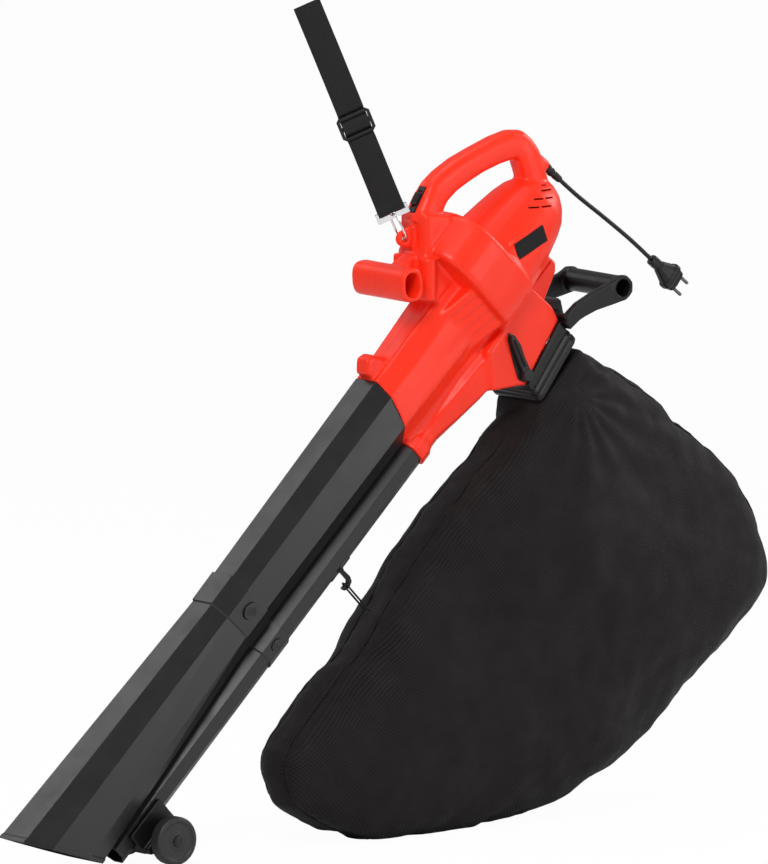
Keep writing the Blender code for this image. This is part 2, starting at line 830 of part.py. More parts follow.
def housing_outside():
    form = fan_casing()
    union(form, motor_cover(), outlet_box(), suction_duct(), blow_duct(), duct_lip(), duct_web(),
          front_block(), handle_form(), strap_eye(), grip_neck(), front_grip(), catch_lug(), rear_lug(),
          cord_outlet())
    for side in (-1, 1):
        union(form, grip_boss(side), casing_shoulder(side))
        for z in (30, 15, 0, -15, -30):
            union(form, casing_rib(z, side))
    return form


def housing_inside():
    form = fan_chamber()
    inner_width = OUTLET_HALF_WIDTH - WALL
    throat = block((DIVERTER_X - 3, THROAT_END_X), (-inner_width, inner_width), (-150, -100))
    socket = loft([ring_at(x, suction_section(TUBE_TOP_SCALE, WALL)) for x in (790, SPIGOT_END_X + 1)])
    union(form, motor_chamber(), outlet_box(WALL), throat, suction_duct(WALL), socket, blow_duct(WALL),
          front_block(WALL), handle_form(WALL + 2.5))
    return form


def housing():
    """The two half shells."""
    form = housing_outside()
    cut(form, housing_inside())
    for place in SCREWS.values():
        union(form, screw_boss(*place))
    for place in SCREWS.values():
        cut(form, screw_hole(*place))
    cut(form, turned_y(((-20, EYE_HOLE), (20, EYE_HOLE)), 16, *EYE))
    cut(form, switch_block((-19.4, 19.4), 6.9, (-1.8, 12.0)))
    cut(form, switch_block((-12.5, 12.5), 3.1, (-12.0, 2.0)))
    cut(form, switch_block((-14.5, 14.5), 7.5, (-24.5, -6.0)))
    for side in (-1, 1):
        cut(form, loft([grip_ring(side * 9, 8.0), grip_ring(side * 65, 6.2)]))
    cut(form, turned_y(((-60, 4.5 + GAP), (60, 4.5 + GAP)), 16, DIVERTER_X, DIVERTER_Z))
    exit_point = Vector(CORD_EXIT)
    cut(form, rod(exit_point - CORD_WAY * 18, exit_point + CORD_WAY * 5, RELIEF_NECK + GAP, 12))
    for side in (-1, 1):
        cut(form, *vent_cutters(side))
    union(form, label_box((-3.0, 0.4), 3.0))
    cut(form, label_box((0.0, 12.0), GAP))
    halves = {}
    for name, side in (("housing_left_shell", -1), ("housing_right_shell", 1)):
        half = form.copy()
        half.data = form.data.copy()
        bpy.context.scene.collection.objects.link(half)
        y = sorted((-side * 200, side * HALF_GAP))
        cut(half, block((-50, 1400), y, (-400, 400)))
        halves[name] = flattened(half)
    bpy.data.objects.remove(form, do_unlink=True)
    return halves


# Motor, fan and impeller


def inlet_ring():
    """The wall in front of the impeller, with a bell mouth round its eye."""
    centre = (0.0, CASING_CENTRE_Z)
    x0 = CASING_X[0] + WALL + GAP
    wall = loft([ring_at(x, casing_section(WALL + GAP, CHAMBER_POINTS), centre) for x in (x0, x0 + 2.5)])
    lower = block((x0 - 5, x0 + 10), (-90, 90), (-90, OUTLET_CEILING))
    cut(wall, lower)
    return cut(wall, turned_x(((x0 - 3, 40.0), (x0 + 5, 36.0)), 20))


def fan_backplate():
    """The wall between impeller and motor, with the cup of the front bearing."""
    centre = (0.0, CASING_CENTRE_Z)
    x0, x1 = BACKPLATE_X
    wall = loft([ring_at(x, casing_section(WALL + GAP, CHAMBER_POINTS), centre) for x in (x0, x1)])
    cut(wall, block((x0 - 5, x1 + 5), (-90, 90), (-90, OUTLET_CEILING)))
    union(wall, turned_x(((x0 + 1, 15.0), (x1 + 9, 15.0)), 16))
    cut(wall, turned_x(((x1, BEARING_RADIUS + GAP), (x1 + 12, BEARING_RADIUS + GAP)), 16))
    return cut(wall, turned_x(((x0 - 5, SHAFT_RADIUS + 1.5), (x1 + 12, SHAFT_RADIUS + 1.5)), 12))


def bearing(x0, x1):
    inner = SHAFT_RADIUS + GAP
    return hollow_x(((x0, BEARING_RADIUS), (x1, BEARING_RADIUS), (x1, inner), (x0, inner)), 16)


def impeller():
    """An open wheel: a plate, a hub and blades that lean back."""
    x0, x1 = IMPELLER_X
    wheel_form = turned_x(((x1 - 2, IMPELLER_RADIUS), (x1, IMPELLER_RADIUS)), 28)
    union(wheel_form, turned_x(((x0 + 4, 11.0), (x1 - 1, 16.0)), 12))
    for k in range(IMPELLER_BLADES):
        start = 2 * math.pi * k / IMPELLER_BLADES
        inner_side = []
        outer_side = []
        for step in range(4):
            share = step / 3
            radius = 12.0 + (IMPELLER_RADIUS - 13.0) * share
            angle = start - 0.75 * share ** 1.3
            for side, line in ((-1, inner_side), (1, outer_side)):
                turn = angle + side * 1.0 / radius
                line.append((radius * math.cos(turn), radius * math.sin(turn)))
        outline = inner_side + outer_side[::-1]
        blade = loft([[(x, y, z) for y, z in outline] for x in (x0, x1 - 1)])
        union(wheel_form, blade)
    return cut(wheel_form, turned_x(((x0 - 5, SHAFT_RADIUS + GAP), (x1 + 5, SHAFT_RADIUS + GAP)), 12))


def impeller_nut():
    x0 = IMPELLER_X[0] - 2
    nut = turned_x(((x0, 7.0), (x0 + 5.5, 7.0)), 6)
    return cut(nut, turned_x(((x0 - 5, SHAFT_RADIUS + GAP), (x0 + 9, SHAFT_RADIUS + GAP)), 12))


def motor_shaft():
    x1 = BRACKET_X[1] + 9
    profile = ((IMPELLER_X[0] - 5, SHAFT_RADIUS - 1), (IMPELLER_X[0] - 4, SHAFT_RADIUS),
               (x1 - 1, SHAFT_RADIUS),
               (x1, SHAFT_RADIUS - 1))
    return turned_x(profile, 12)


def cooling_fan():
    x0 = BACKPLATE_X[1] + 12
    fan = turned_x(((x0, 9.0), (x0 + 10, 9.0)), 12)
    union(fan, turned_x(((x0 + 8, 30.0), (x0 + 9.5, 30.0)), 18))
    for k in range(6):
        angle = 2 * math.pi * k / 6
        c = math.cos(angle)
        s = math.sin(angle)
        outline = [(7 * c + 0.8 * s, 7 * s - 0.8 * c), (28 * c + 0.8 * s, 28 * s - 0.8 * c),
                   (28 * c - 0.8 * s, 28 * s + 0.8 * c), (7 * c - 0.8 * s, 7 * s + 0.8 * c)]
        union(fan, loft([[(x, y, z) for y, z in outline] for x in (x0 + 1, x0 + 9)]))
    return cut(fan, turned_x(((x0 - 5, SHAFT_RADIUS + GAP), (x0 + 15, SHAFT_RADIUS + GAP)), 12))


def armature_core():
    x0 = STATOR_X[0] + 1
    x1 = STATOR_X[1] - 1
    inner = WINDING_SLEEVE + GAP
    return hollow_x(((x0, ARMATURE_RADIUS), (x1, ARMATURE_RADIUS), (x1, inner), (x0, inner)), 20)


def armature_windings():
    """The winding heads at both ends of the core, joined by the sleeve on the shaft."""
    inner = SHAFT_RADIUS + GAP
    x0 = STATOR_X[0] - 6
    x1 = STATOR_X[0] + 1 - GAP
    x2 = STATOR_X[1] - 1 + GAP
    x3 = STATOR_X[1] + 6
    profile = ((x0, 14), (x0 + 2, 20), (x1 - 2, 22), (x1, 19), (x1, WINDING_SLEEVE), (x2, WINDING_SLEEVE),
               (x2, 19), (x2 + 2, 22), (x3 - 2, 20), (x3, 14), (x3, inner), (x0, inner))
    return hollow_x(profile, 12)


def commutator():
    x0 = STATOR_X[1] + 6 + GAP
    inner = SHAFT_RADIUS + GAP
    profile = ((x0, 12), (x0 + 13, 12), (x0 + 13, inner), (x0, inner))
    return hollow_x(profile, 16)


def stator_core():
    """A ring of sheets with two poles that reach in towards the armature."""
    x0, x1 = STATOR_X
    ring = hollow_x(((x0, STATOR_RADIUS), (x1, STATOR_RADIUS), (x1, 36.5), (x0, 36.5)), INSIDE_POINTS)
    for side in (-1, 1):
        z = sorted((side * 20, side * 37.5))
        union(ring, block((x0 + 0.1, x1 - 0.1), (-12, 12), z))
    return cut(ring, turned_x(((x0 - 5, ARMATURE_RADIUS + 0.6), (x1 + 5, ARMATURE_RADIUS + 0.6)), 24))


def field_coils():
    """One coil round each pole, joined by the lead that runs past the armature."""
    x0, x1 = STATOR_X
    coils = []
    for side in (-1, 1):
        z0, z1 = sorted((side * 27.6, side * 31.1))
        rings = []
        for z, grow in ((z0, 5.0), (z1, 5.0), (z1, GAP), (z0, GAP)):
            rings.append([(x0 - grow, -12 - grow, z), (x1 + grow, -12 - grow, z), (x1 + grow, 12 + grow, z),
                          (x0 - grow, 12 + grow, z)])
        coils.append(sleeve(rings))
    lead = []
    for angle in (64, 32, 0, -32, -64):
        c = math.cos(math.radians(angle))
        s = math.sin(math.radians(angle))
        lead.append([(x0 - 4.6, 31.2 * c, 31.2 * s), (x0 - 1.6, 31.2 * c, 31.2 * s),
                     (x0 - 1.6, 34.0 * c, 34.0 * s),
                     (x0 - 4.6, 34.0 * c, 34.0 * s)])
    return union(coils[0], loft(lead), coils[1])


def rear_bracket():
    """The spider behind the motor: it carries the rear bearing and the brush holders."""
    x0, x1 = BRACKET_X
    plate = turned_x(((x0, 42.0), (x1, 42.0)), INSIDE_POINTS)
    union(plate, turned_x(((x0 + 1, 13.5), (x1 + 8.5, 13.5)), 16))
    for angle in (45, 135, 225, 315):
        y = 28 * math.cos(math.radians(angle))
        z = 28 * math.sin(math.radians(angle))
        cut(plate, turned_x(((x0 - 5, 8.0), (x1 + 12, 8.0)), 8, (y, z)))
    cut(plate, turned_x(((x1 - 0.2, BEARING_RADIUS + GAP), (x1 + 12, BEARING_RADIUS + GAP)), 16))
    return cut(plate, turned_x(((x0 - 5, SHAFT_RADIUS + 1.5), (x1 + 12, SHAFT_RADIUS + 1.5)), 12))


def brush_box(side, y, half, x_reach):
    x = (BRUSH_X - x_reach, BRUSH_X + x_reach)
    return block(x, sorted((side * y[0], side * y[1])), (-half, half))


def brush_yoke():
    """The two brush holders on one ring."""
    form = turned_x(((BRUSH_X + 3.5, 33.0), (BRUSH_X + 6.0, 33.0)), 16)
    for side in (-1, 1):
        union(form, brush_box(side, (15.0, 34.0), 5.5, 5.0))
    cut(form, turned_x(((BRUSH_X - 9, 14.5), (BRUSH_X + 9, 14.5)), 12))
    for side in (-1, 1):
        cut(form, brush_box(side, (10.0, 40.0), 3.3, 3.3))
    return form


def carbon_brush(side):
    return brush_box(side, (12.4, 26.0), 3.0, 3.0)


# Outlet, diverter, frames and rear handle


def outlet_line(x, offset=0.0):
    (x0, z0), (x1, z1) = OUTLET_EDGE
    return z0 + (z1 - z0) * (x - x0) / (x1 - x0) + offset


def frame_z(x, z):
    """Heights on the frames lean with the outlet's edge."""
    return z + FRAME_SLOPE * (x - OUTLET_EDGE[0][0])


def outlet_frame():
    """The black frame below the outlet."""
    x0, x1 = 984, 1082
    outline = [(x0, FRAME_LOW_Z), (x1, frame_z(x1, FRAME_LOW_Z)), (x1, outlet_line(x1, -GAP)),
               (x0, outlet_line(x0, -GAP))]
    form = plate_y(outline, -50, 50)
    return cut(form, block((x0 + 5, x1 - 5), (-44, 44), (-200, -90)))


def round_rect(x, y, radius, z, corner_points=3):
    ring = []
    for cx, cy, start in ((x[1], y[1], 0), (x[0], y[1], 90), (x[0], y[0], 180), (x[1], y[0], 270)):
        centre_x = cx - math.copysign(radius, cx - (x[0] + x[1]) / 2)
        centre_y = cy - math.copysign(radius, cy)
        for k in range(corner_points):
            angle = math.radians(start + 90 * k / (corner_points - 1))
            px = centre_x + radius * math.cos(angle)
            ring.append((px, centre_y + radius * math.sin(angle), frame_z(px, z)))
    return ring


def bag_frame():
    """The frame at the neck of the bag, with two raised lips round it."""
    low, high = BAG_FRAME_Z
    steps = ((high, 0.0), (high - 2.5, 0.0), (high - 3, 3.0), (high - 6.5, 3.0), (high - 7, 0.0),
             (high - 11.5, 0.0), (high - 12, 3.6), (low + 2.5, 3.6), (low, 2.0))
    rings = [round_rect((984 - g, 1082 + g), (-50 - g, 50 + g), 6 + g, z) for z, g in steps]
    rings += [round_rect((989, 1077), (-45, 45), 3, z) for z in (low, high)]
    form = sleeve(rings)
    ledge = block((1080, 1090.5), (-16, 16), (-138.2, -135.4))
    return union(form, ledge)


def rear_handle():
    """Two arms and a hollow cross grip behind the outlet."""
    gx, gz = REAR_GRIP
    arm = [(1085, -118), (1092, -110), (1114, -112.5), (1138, -121.5), (1160, -131), (1174, -137.5)]
    arm += [(gx + 18 * math.cos(a), gz + 18 * math.sin(a)) for a in (1.1, 0.4, -0.4, -1.2, -2.0)]
    arm += [(1154, -162), (1130, -146), (1110, -136.5), (1102, -133.5), (1085, -130.5)]
    form = None
    for side in (-1, 1):
        y = sorted((side * 51, side * 60))
        plate = loft([[(x, end, z) for x, z in arm] for end in y])
        form = plate if form is None else union(form, plate)
    union(form, turned_y(((-60.8, 17.0), (-50, 16.0), (50, 16.0), (60.8, 17.0)), 16, gx, gz))
    union(form, block((1082 + GAP, 1090), (-59, 59), (-131, -118)))
    union(form, block((1086.3, 1092), (-58.5, 58.5), (-130.5, -108.5)))
    for side in (-1, 1):
        outline = [(1085, -119), (1098, -117.5), (1105, -120), (1106, -127), (1099, -130.5), (1085, -130)]
        lug = plate_y(outline, *sorted((side * 17.4, side * 21)))
        union(form, lug)
    cut(form, turned_y(((-70, 12.0), (70, 12.0)), 16, gx, gz))
    return cut(form, rod((CATCH_PIVOT[0], -25, CATCH_PIVOT[2]), (CATCH_PIVOT[0], 25, CATCH_PIVOT[2]),
                         2.5 + GAP, 10))


def bag_catch():
    """A ribbed thumb catch on two stub pins; its nose hooks under the ledge of the bag frame."""
    body = [(1096, -113), (1107, -108.5), (1118, -116.5), (1111.5, -128), (1105, -140), (1100, -147),
            (1087.8, -147), (1087.8, -139.2), (1093.4, -139.2), (1094, -130), (1093.5, -122)]
    form = plate_y(body, -17, 17)
    for k in range(5):
        share = (k + 0.5) / 5
        x = 1107.6 + 9.2 * share
        z = -109.6 - 6.7 * share
        rib = [(x - 2.6, z - 2.4), (x - 0.6, z - 2.6), (x + 2.2, z + 1.8), (x + 1.2, z + 2.5)]
        union(form, plate_y(rib, -16, 16))
    x, _, z = CATCH_PIVOT
    return union(form, rod((x, -20.5, z), (x, 20.5, z), 2.5, 10))


def diverter_flap():
    """The flap and its shaft; the shaft runs out through both side walls."""
    shaft = rod((DIVERTER_X, -53, DIVERTER_Z), (DIVERTER_X, 46.7, DIVERTER_Z), DIVERTER_SHAFT, 12)
    plate = turned_box((DIVERTER_X + (FLAP_LENGTH - 2) / 2 * math.cos(FLAP_REST),
                        DIVERTER_Z + (FLAP_LENGTH - 2) / 2 * math.sin(FLAP_REST)),
                       FLAP_REST, FLAP_LENGTH + 2, 3.0, -42.5, 42.5)
    return union(shaft, plate)


def mode_lever():
    """The lever on the left side, set on the end of the flap's shaft."""
    c = math.cos(FLAP_REST)
    s = math.sin(FLAP_REST)
    outline = []
    for along, across in ((-6, -5), (20, -5.5), (46, -4.5), (60, -3.0), (62, 0), (60, 3.0), (46, 4.5),
                          (20, 5.5), (-6, 5)):
        outline.append((DIVERTER_X + along * c - across * s, DIVERTER_Z + along * s + across * c))
    form = plate_y(outline, -56.5, -51.0)
    union(form, turned_y(((-58.5, 8.5), (-50.2, 9.0)), 14, DIVERTER_X, DIVERTER_Z))
    fin = [(DIVERTER_X + a * c - b * s, DIVERTER_Z + a * s + b * c) for a, b in
           ((14, -1.2), (56, -1.2), (56, 1.2), (14, 1.2))]
    union(form, plate_y(fin, -61.0, -56.0))
    bore = rod((DIVERTER_X, -53.4, DIVERTER_Z), (DIVERTER_X, -40, DIVERTER_Z), DIVERTER_SHAFT + GAP, 12)
    return cut(form, bore)


def lever_plate():
    """The dark leaf-shaped plate behind the lever."""
    outline = [(1013.5, -60), (1017.5, -70), (1015.5, -86), (1008, -104), (1003, -122), (996, -131),
               (984, -129), (980, -118), (988, -100), (998, -80), (1006, -65)]
    form = plate_y(outline, -49.4, -47.3)
    bore = rod((DIVERTER_X, -60, DIVERTER_Z), (DIVERTER_X, -40, DIVERTER_Z), DIVERTER_SHAFT + 0.6, 12)
    return cut(form, bore)


# Handle fittings


def switch_bezel():
    form = switch_block((-19.1, 19.1), 6.6, (-1.5, 0.5))
    return cut(form, switch_block((-13, 13), 3.4, (-9, 9)))


def switch_slider():
    form = switch_block((-9, 9), 5.2, (0.8, 3.6))
    for k in range(5):
        along = -6.8 + 3.4 * k
        union(form, switch_block((along - 0.8, along + 0.8), 4.7, (3.1, 4.8)))
    return union(form, switch_block((-3.5, 3.5), 2.5, (-9.0, 1.5)))


def switch_body():
    return switch_block((-14, 14), 7.0, (-24, -9.3))


def label_plate():
    return label_box((GAP, 1.6))


# Cord


def cord_ring(centre, radius_wide, radius_thin, count, power=2.0, way=CORD_WAY):
    """A ring square to a direction that lies in the middle plane."""
    wide = Vector((-way.z, 0, way.x))
    return [tuple(centre + wide * a + Vector((0, b, 0))) for a, b in
            rounded(radius_wide, radius_thin, power, count)]


def strain_relief():
    start = Vector(CORD_EXIT)
    steps = ((-14, RELIEF_NECK), (0.4, RELIEF_NECK), (0.5, 7.2), (5, 7.0), (5.1, 5.6), (9, 5.6), (9.1, 6.4),
             (14, 6.1), (14.1, 5.0), (18, 5.0), (18.1, 5.6), (29, 5.0), (31, 4.4))
    return loft([cord_ring(start + CORD_WAY * s, r, r, 10) for s, r in steps])


def smooth_line(points, count):
    """Even points on a curve through the given ones."""
    spread = []
    ends = [2 * points[0] - points[1]] + points + [2 * points[-1] - points[-2]]
    for i in range(1, len(ends) - 2):
        p0, p1, p2, p3 = ends[i - 1:i + 3]
        for k in range(20):
            t = k / 20
            spread.append(0.5 * (2 * p1 + (p2 - p0) * t + (2 * p0 - 5 * p1 + 4 * p2 - p3) * t * t
                                 + (3 * p1 - p0 - 3 * p2 + p3) * t ** 3))
    spread.append(points[-1])
    lengths = [0.0]
    for a, b in zip(spread, spread[1:]):
        lengths.append(lengths[-1] + (b - a).length)
    line = []
    for k in range(count):
        goal = lengths[-1] * k / (count - 1)
        i = next(n for n in range(1, len(lengths)) if lengths[n] >= goal - 1e-9)
        share = (goal - lengths[i - 1]) / max(1e-9, lengths[i] - lengths[i - 1])
        line.append(spread[i - 1].lerp(spread[i], share))
    return line


def power_cord(root):
    """The free cord as a bevelled curve."""
    curve = bpy.data.curves.new("power_cord", "CURVE")
    curve.dimensions = "3D"
    curve.bevel_depth = CORD_RADIUS * MM
    curve.bevel_resolution = 2
    curve.use_fill_caps = True
    points = smooth_line([Vector(point) for point in CORD_ROUTE], 15)
    spline = curve.splines.new("POLY")
    spline.points.add(len(points) - 1)
    for slot, point in zip(spline.points, points):
        slot.co = (*(point * MM), 1.0)
    item = bpy.data.objects.new("power_cord", curve)
    bpy.context.scene.collection.objects.link(item)
    item.data.materials.append(finish_of("power_cord", BLACK))
    item.parent = root
    return item


def plug_point(along, across=0.0):
    wide = Vector((-PLUG_WAY.z, 0, PLUG_WAY.x))
    return Vector(CORD_ROUTE[-1]) + PLUG_WAY * along + wide * across


def plug_body():
    steps = ((0.4, 6.6, 6.4, 2.4), (2, 7.6, 7.0, 3.0), (14.5, 7.6, 7.0, 3.0), (16, 6.2, 6.0, 2.4),
             (18.5, 8.6, 7.4, 2.8), (38, 16.6, 9.4, 3.2), (39, 18.8, 10.4, 3.4), (47, 18.8, 10.4, 3.4),
             (48, 16.4, 9.4, 3.2), (56, 15.2, 8.8, 3.2))
    form = loft([cord_ring(plug_point(s), a, b, 12, power, PLUG_WAY) for s, a, b, power in steps])
    pocket = [cord_ring(plug_point(s), 14.0, 4.6, 8, 4.0, PLUG_WAY) for s in (46, 60)]
    return cut(form, loft(pocket))


def plug_pins():
    """Two round pins on the moulded carrier inside the plug."""
    carrier = loft([cord_ring(plug_point(s), 14.0 - GAP, 4.6 - GAP, 8, 4.0, PLUG_WAY)
                    for s in (46 + GAP, 55.4)])
    for side in (-1, 1):
        rings = [(50, 2.4), (73.5, 2.4), (75, 1.5)]
        pin = loft([cord_ring(plug_point(s, side * 9.5), r, r, 10, 2.0, PLUG_WAY) for s, r in rings])
        union(carrier, pin)
    return carrier


# Strap


def strap_point(along, across=0.0, out=0.0):
    return STRAP_START + STRAP_WAY * along + STRAP_ACROSS * across + STRAP_OUT * out


def ribbon(path, width, thickness):
    """A flat band along points (along, out) of the strap's own plane."""
    rings = []
    last = len(path) - 1
    for k, point in enumerate(path):
        here = Vector(point)
        before = Vector(path[max(0, k - 1)])
        after = Vector(path[min(last, k + 1)])
        way_in = (here - before).normalized() if k else (after - here).normalized()
        way_out = (after - here).normalized() if k < last else way_in
        middle = (way_in + way_out).normalized()
        normal = Vector((-middle.y, middle.x)) / max(0.5, middle.dot(way_in))
        a = here + normal * thickness / 2
        b = here - normal * thickness / 2
        rings.append([strap_point(a.x, -width / 2, a.y), strap_point(a.x, width / 2, a.y),
                      strap_point(b.x, width / 2, b.y), strap_point(b.x, -width / 2, b.y)])
    return loft(rings)


def shoulder_strap():
    """Webbing that turns round the metal loop, weaves through the slider and runs up to its end."""
    turn = [(4.0 + 3.6 * math.cos(a), 3.6 * math.sin(a)) for a in
            (math.radians(d) for d in (90, 135, 180, 225, 270))]
    path = [(40, 2.0), (20, 2.0), (11, 3.4)] + turn + [(10, -2.6), (20, -0.1), (60, 0)]
    path += [(SLIDER_AT - 30, 0), (SLIDER_AT - 19, 3.6), (SLIDER_AT - 12, 3.6), (SLIDER_AT - 4, -3.4),
             (SLIDER_AT + 4, -3.4), (SLIDER_AT + 12, 3.6), (SLIDER_AT + 19, 3.6), (SLIDER_AT + 30, 0)]
    path += [(STRAP_LENGTH * 0.75, -1.5), (STRAP_LENGTH - 24, 0), (STRAP_LENGTH, 0)]
    return ribbon(path, STRAP_WIDTH, STRAP_THICKNESS)


def strap_slider():
    """A three-bar slider."""
    reach, half_width, corner, thickness = SLIDER_SIZE
    outline = [(reach - corner, half_width), (reach, half_width - corner)]
    outline = outline + [(a, -b) for a, b in reversed(outline)]
    outline = outline + [(-a, b) for a, b in reversed(outline)]
    form = loft([[strap_point(SLIDER_AT + a, b, out) for a, b in inset(outline, extra)]
                 for out, extra in ((-thickness, 0.8), (-thickness + 1, 0.0), (thickness - 1, 0.0),
                                    (thickness, 0.8))])
    for low, high in ((-12.8, -2.6), (2.6, 12.8)):
        cut(form, strap_box((SLIDER_AT + low, SLIDER_AT + high), (-19.6, 19.6), (-9, 9)))
    return form


def strap_box(along, across, out):
    rings = []
    for a in along:
        rings.append([strap_point(a, across[0], out[0]), strap_point(a, across[1], out[0]),
                      strap_point(a, across[1], out[1]), strap_point(a, across[0], out[1])])
    return loft(rings)


def strap_loop():
    """The flat metal loop that joins webbing and hook."""
    form = strap_box((-8.5, 5.8), (-23.0, 23.0), (-1.7, 1.7))
    cut(form, strap_box((-0.8, 2.2), (-19.7, 19.7), (-9, 9)))
    return cut(form, strap_box((-4.3, 0), (-3.6, 3.6), (-9, 9)))


def hook_ring():
    """Points (along, y) of the wire hook's loop."""
    points = []
    for k in range(HOOK_POINTS):
        angle = 2 * math.pi * k / HOOK_POINTS
        c = math.cos(angle)
        s = math.sin(angle)
        along = -math.copysign(abs(c) ** 0.5, c) * HOOK_HALF_LENGTH
        y = math.copysign(abs(s) ** 0.5, s) * 9.4
        points.append((along, y * (1.0 if along < 0 else 1.0 - 0.3 * along / HOOK_HALF_LENGTH)))
    return points


def wire(places, radius, across, count=8):
    """A round wire through points that lie in the plane square to a direction."""
    rings = []
    last = len(places) - 1
    for k, place in enumerate(places):
        way = (places[min(last, k + 1)] - places[max(0, k - 1)]).normalized()
        side = way.cross(across).normalized()
        rings.append([tuple(place + across * a + side * b) for a, b in circle(radius, count)])
    return loft(rings)


def hook_wire(points):
    """The hook's wire through points (along, y)."""
    across = HOOK_WAY.cross(Vector((0, 1, 0)))
    return wire([HOOK_MIDDLE + HOOK_WAY * a + Vector((0, y, 0)) for a, y in points], 1.6, across)


def snap_hook():
    return hook_wire(hook_path())


def hook_path():
    """The open wire of the hook: it starts and ends beside the gate on the right side."""
    ring = hook_ring()
    gate_low, gate_high = HOOK_GATE
    keep = [point for point in ring if not (point[1] > 6 and gate_low < point[0] < gate_high)]
    first = next(k for k, point in enumerate(keep) if point[1] > 6 and point[0] >= gate_high)
    line = keep[first:] + keep[:first]
    return [(gate_high, line[0][1])] + line + [(gate_low, line[-1][1])]


def hook_gate():
    low, high = HOOK_GATE
    y = 9.0
    return hook_wire([(high - 0.5, y), (low + 0.5, y)])


# Bag


def bag_outline(inwards=0.0):
    """The side view of the bag (x, z), smoothed through its main points."""
    ring = [Vector((x, 0, z)) for x, z in BAG_OUTLINE]
    points = []
    count = len(ring)
    for i in range(count):
        p0, p1, p2, p3 = (ring[(i + k) % count] for k in (-1, 0, 1, 2))
        for t in (0.0, 0.5) if i % 2 else (0.0,):
            point = 0.5 * (2 * p1 + (p2 - p0) * t + (2 * p0 - 5 * p1 + 4 * p2 - p3) * t * t
                           + (3 * p1 - p0 - 3 * p2 + p3) * t ** 3)
            points.append((point.x, point.z))
    return inset(points, inwards) if inwards else points


def bag_body(inwards=0.0):
    outline = bag_outline(inwards)
    cx, cz = BAG_CENTRE
    half = BAG_HALF_WIDTH - inwards
    rings = []
    for share in (-1.0, -0.9, -0.68, -0.3, 0.3, 0.68, 0.9, 1.0):
        scale = max(0.3, (1 - min(0.985, abs(share)) ** 2.3) ** 0.42)
        rings.append([(cx + (x - cx) * scale, half * share, cz + (z - cz) * scale) for x, z in outline])
    return loft(rings)


def bag_neck(inwards=0.0):
    """The neck between the bag frame and the body of the bag."""
    top = BAG_FRAME_Z[0] - GAP + (5 if inwards else 0)
    i = inwards
    return loft([round_rect((985 + i, 1081 - i), (-51 + i, 51 - i), 6, top),
                 round_rect((950 + i, 1085 - i), (-53 + i, 53 - i), 12, top - 22),
                 round_rect((890 + i, 1090 - i), (-57 + i, 57 - i), 18, top - 80),
                 round_rect((850 + i, 1098 - i), (-66 + i, 66 - i), 24, top - 150)])


def bag():
    form = union(bag_body(), bag_neck())
    return cut(form, union(bag_body(BAG_WALL), bag_neck(BAG_WALL)))


def bag_hook():
    """The small hook under the blow tube that holds the front of the bag."""
    low = BLOW_Z - (BLOW_RADIUS - 0.4) * math.cos(math.pi / 8) - GAP
    form = block((596, 640), (-7, 7), (low - 3, low))
    hook = [(614, low - 1), (626, low - 1), (623, low - 10), (624, low - 24), (621, low - 31),
            (612, low - 34), (604, low - 31), (603, low - 25), (607, low - 25), (612, low - 28),
            (617, low - 24), (617, low - 10)]
    return union(form, plate_y(hook, -2.5, 2.5))


def hook_cord():
    """The elastic loop that lies in the hook and runs down to the bag on both sides of it."""
    path = ((5.0, -178), (5.0, -130), (4.6, -123.5), (2.6, -120.6), (-2.6, -120.6), (-4.6, -123.5),
            (-5.0, -130),
            (-5.0, -178))
    return wire([Vector((611, y, z)) for y, z in path], 1.5, Vector((1, 0, 0)), 6)


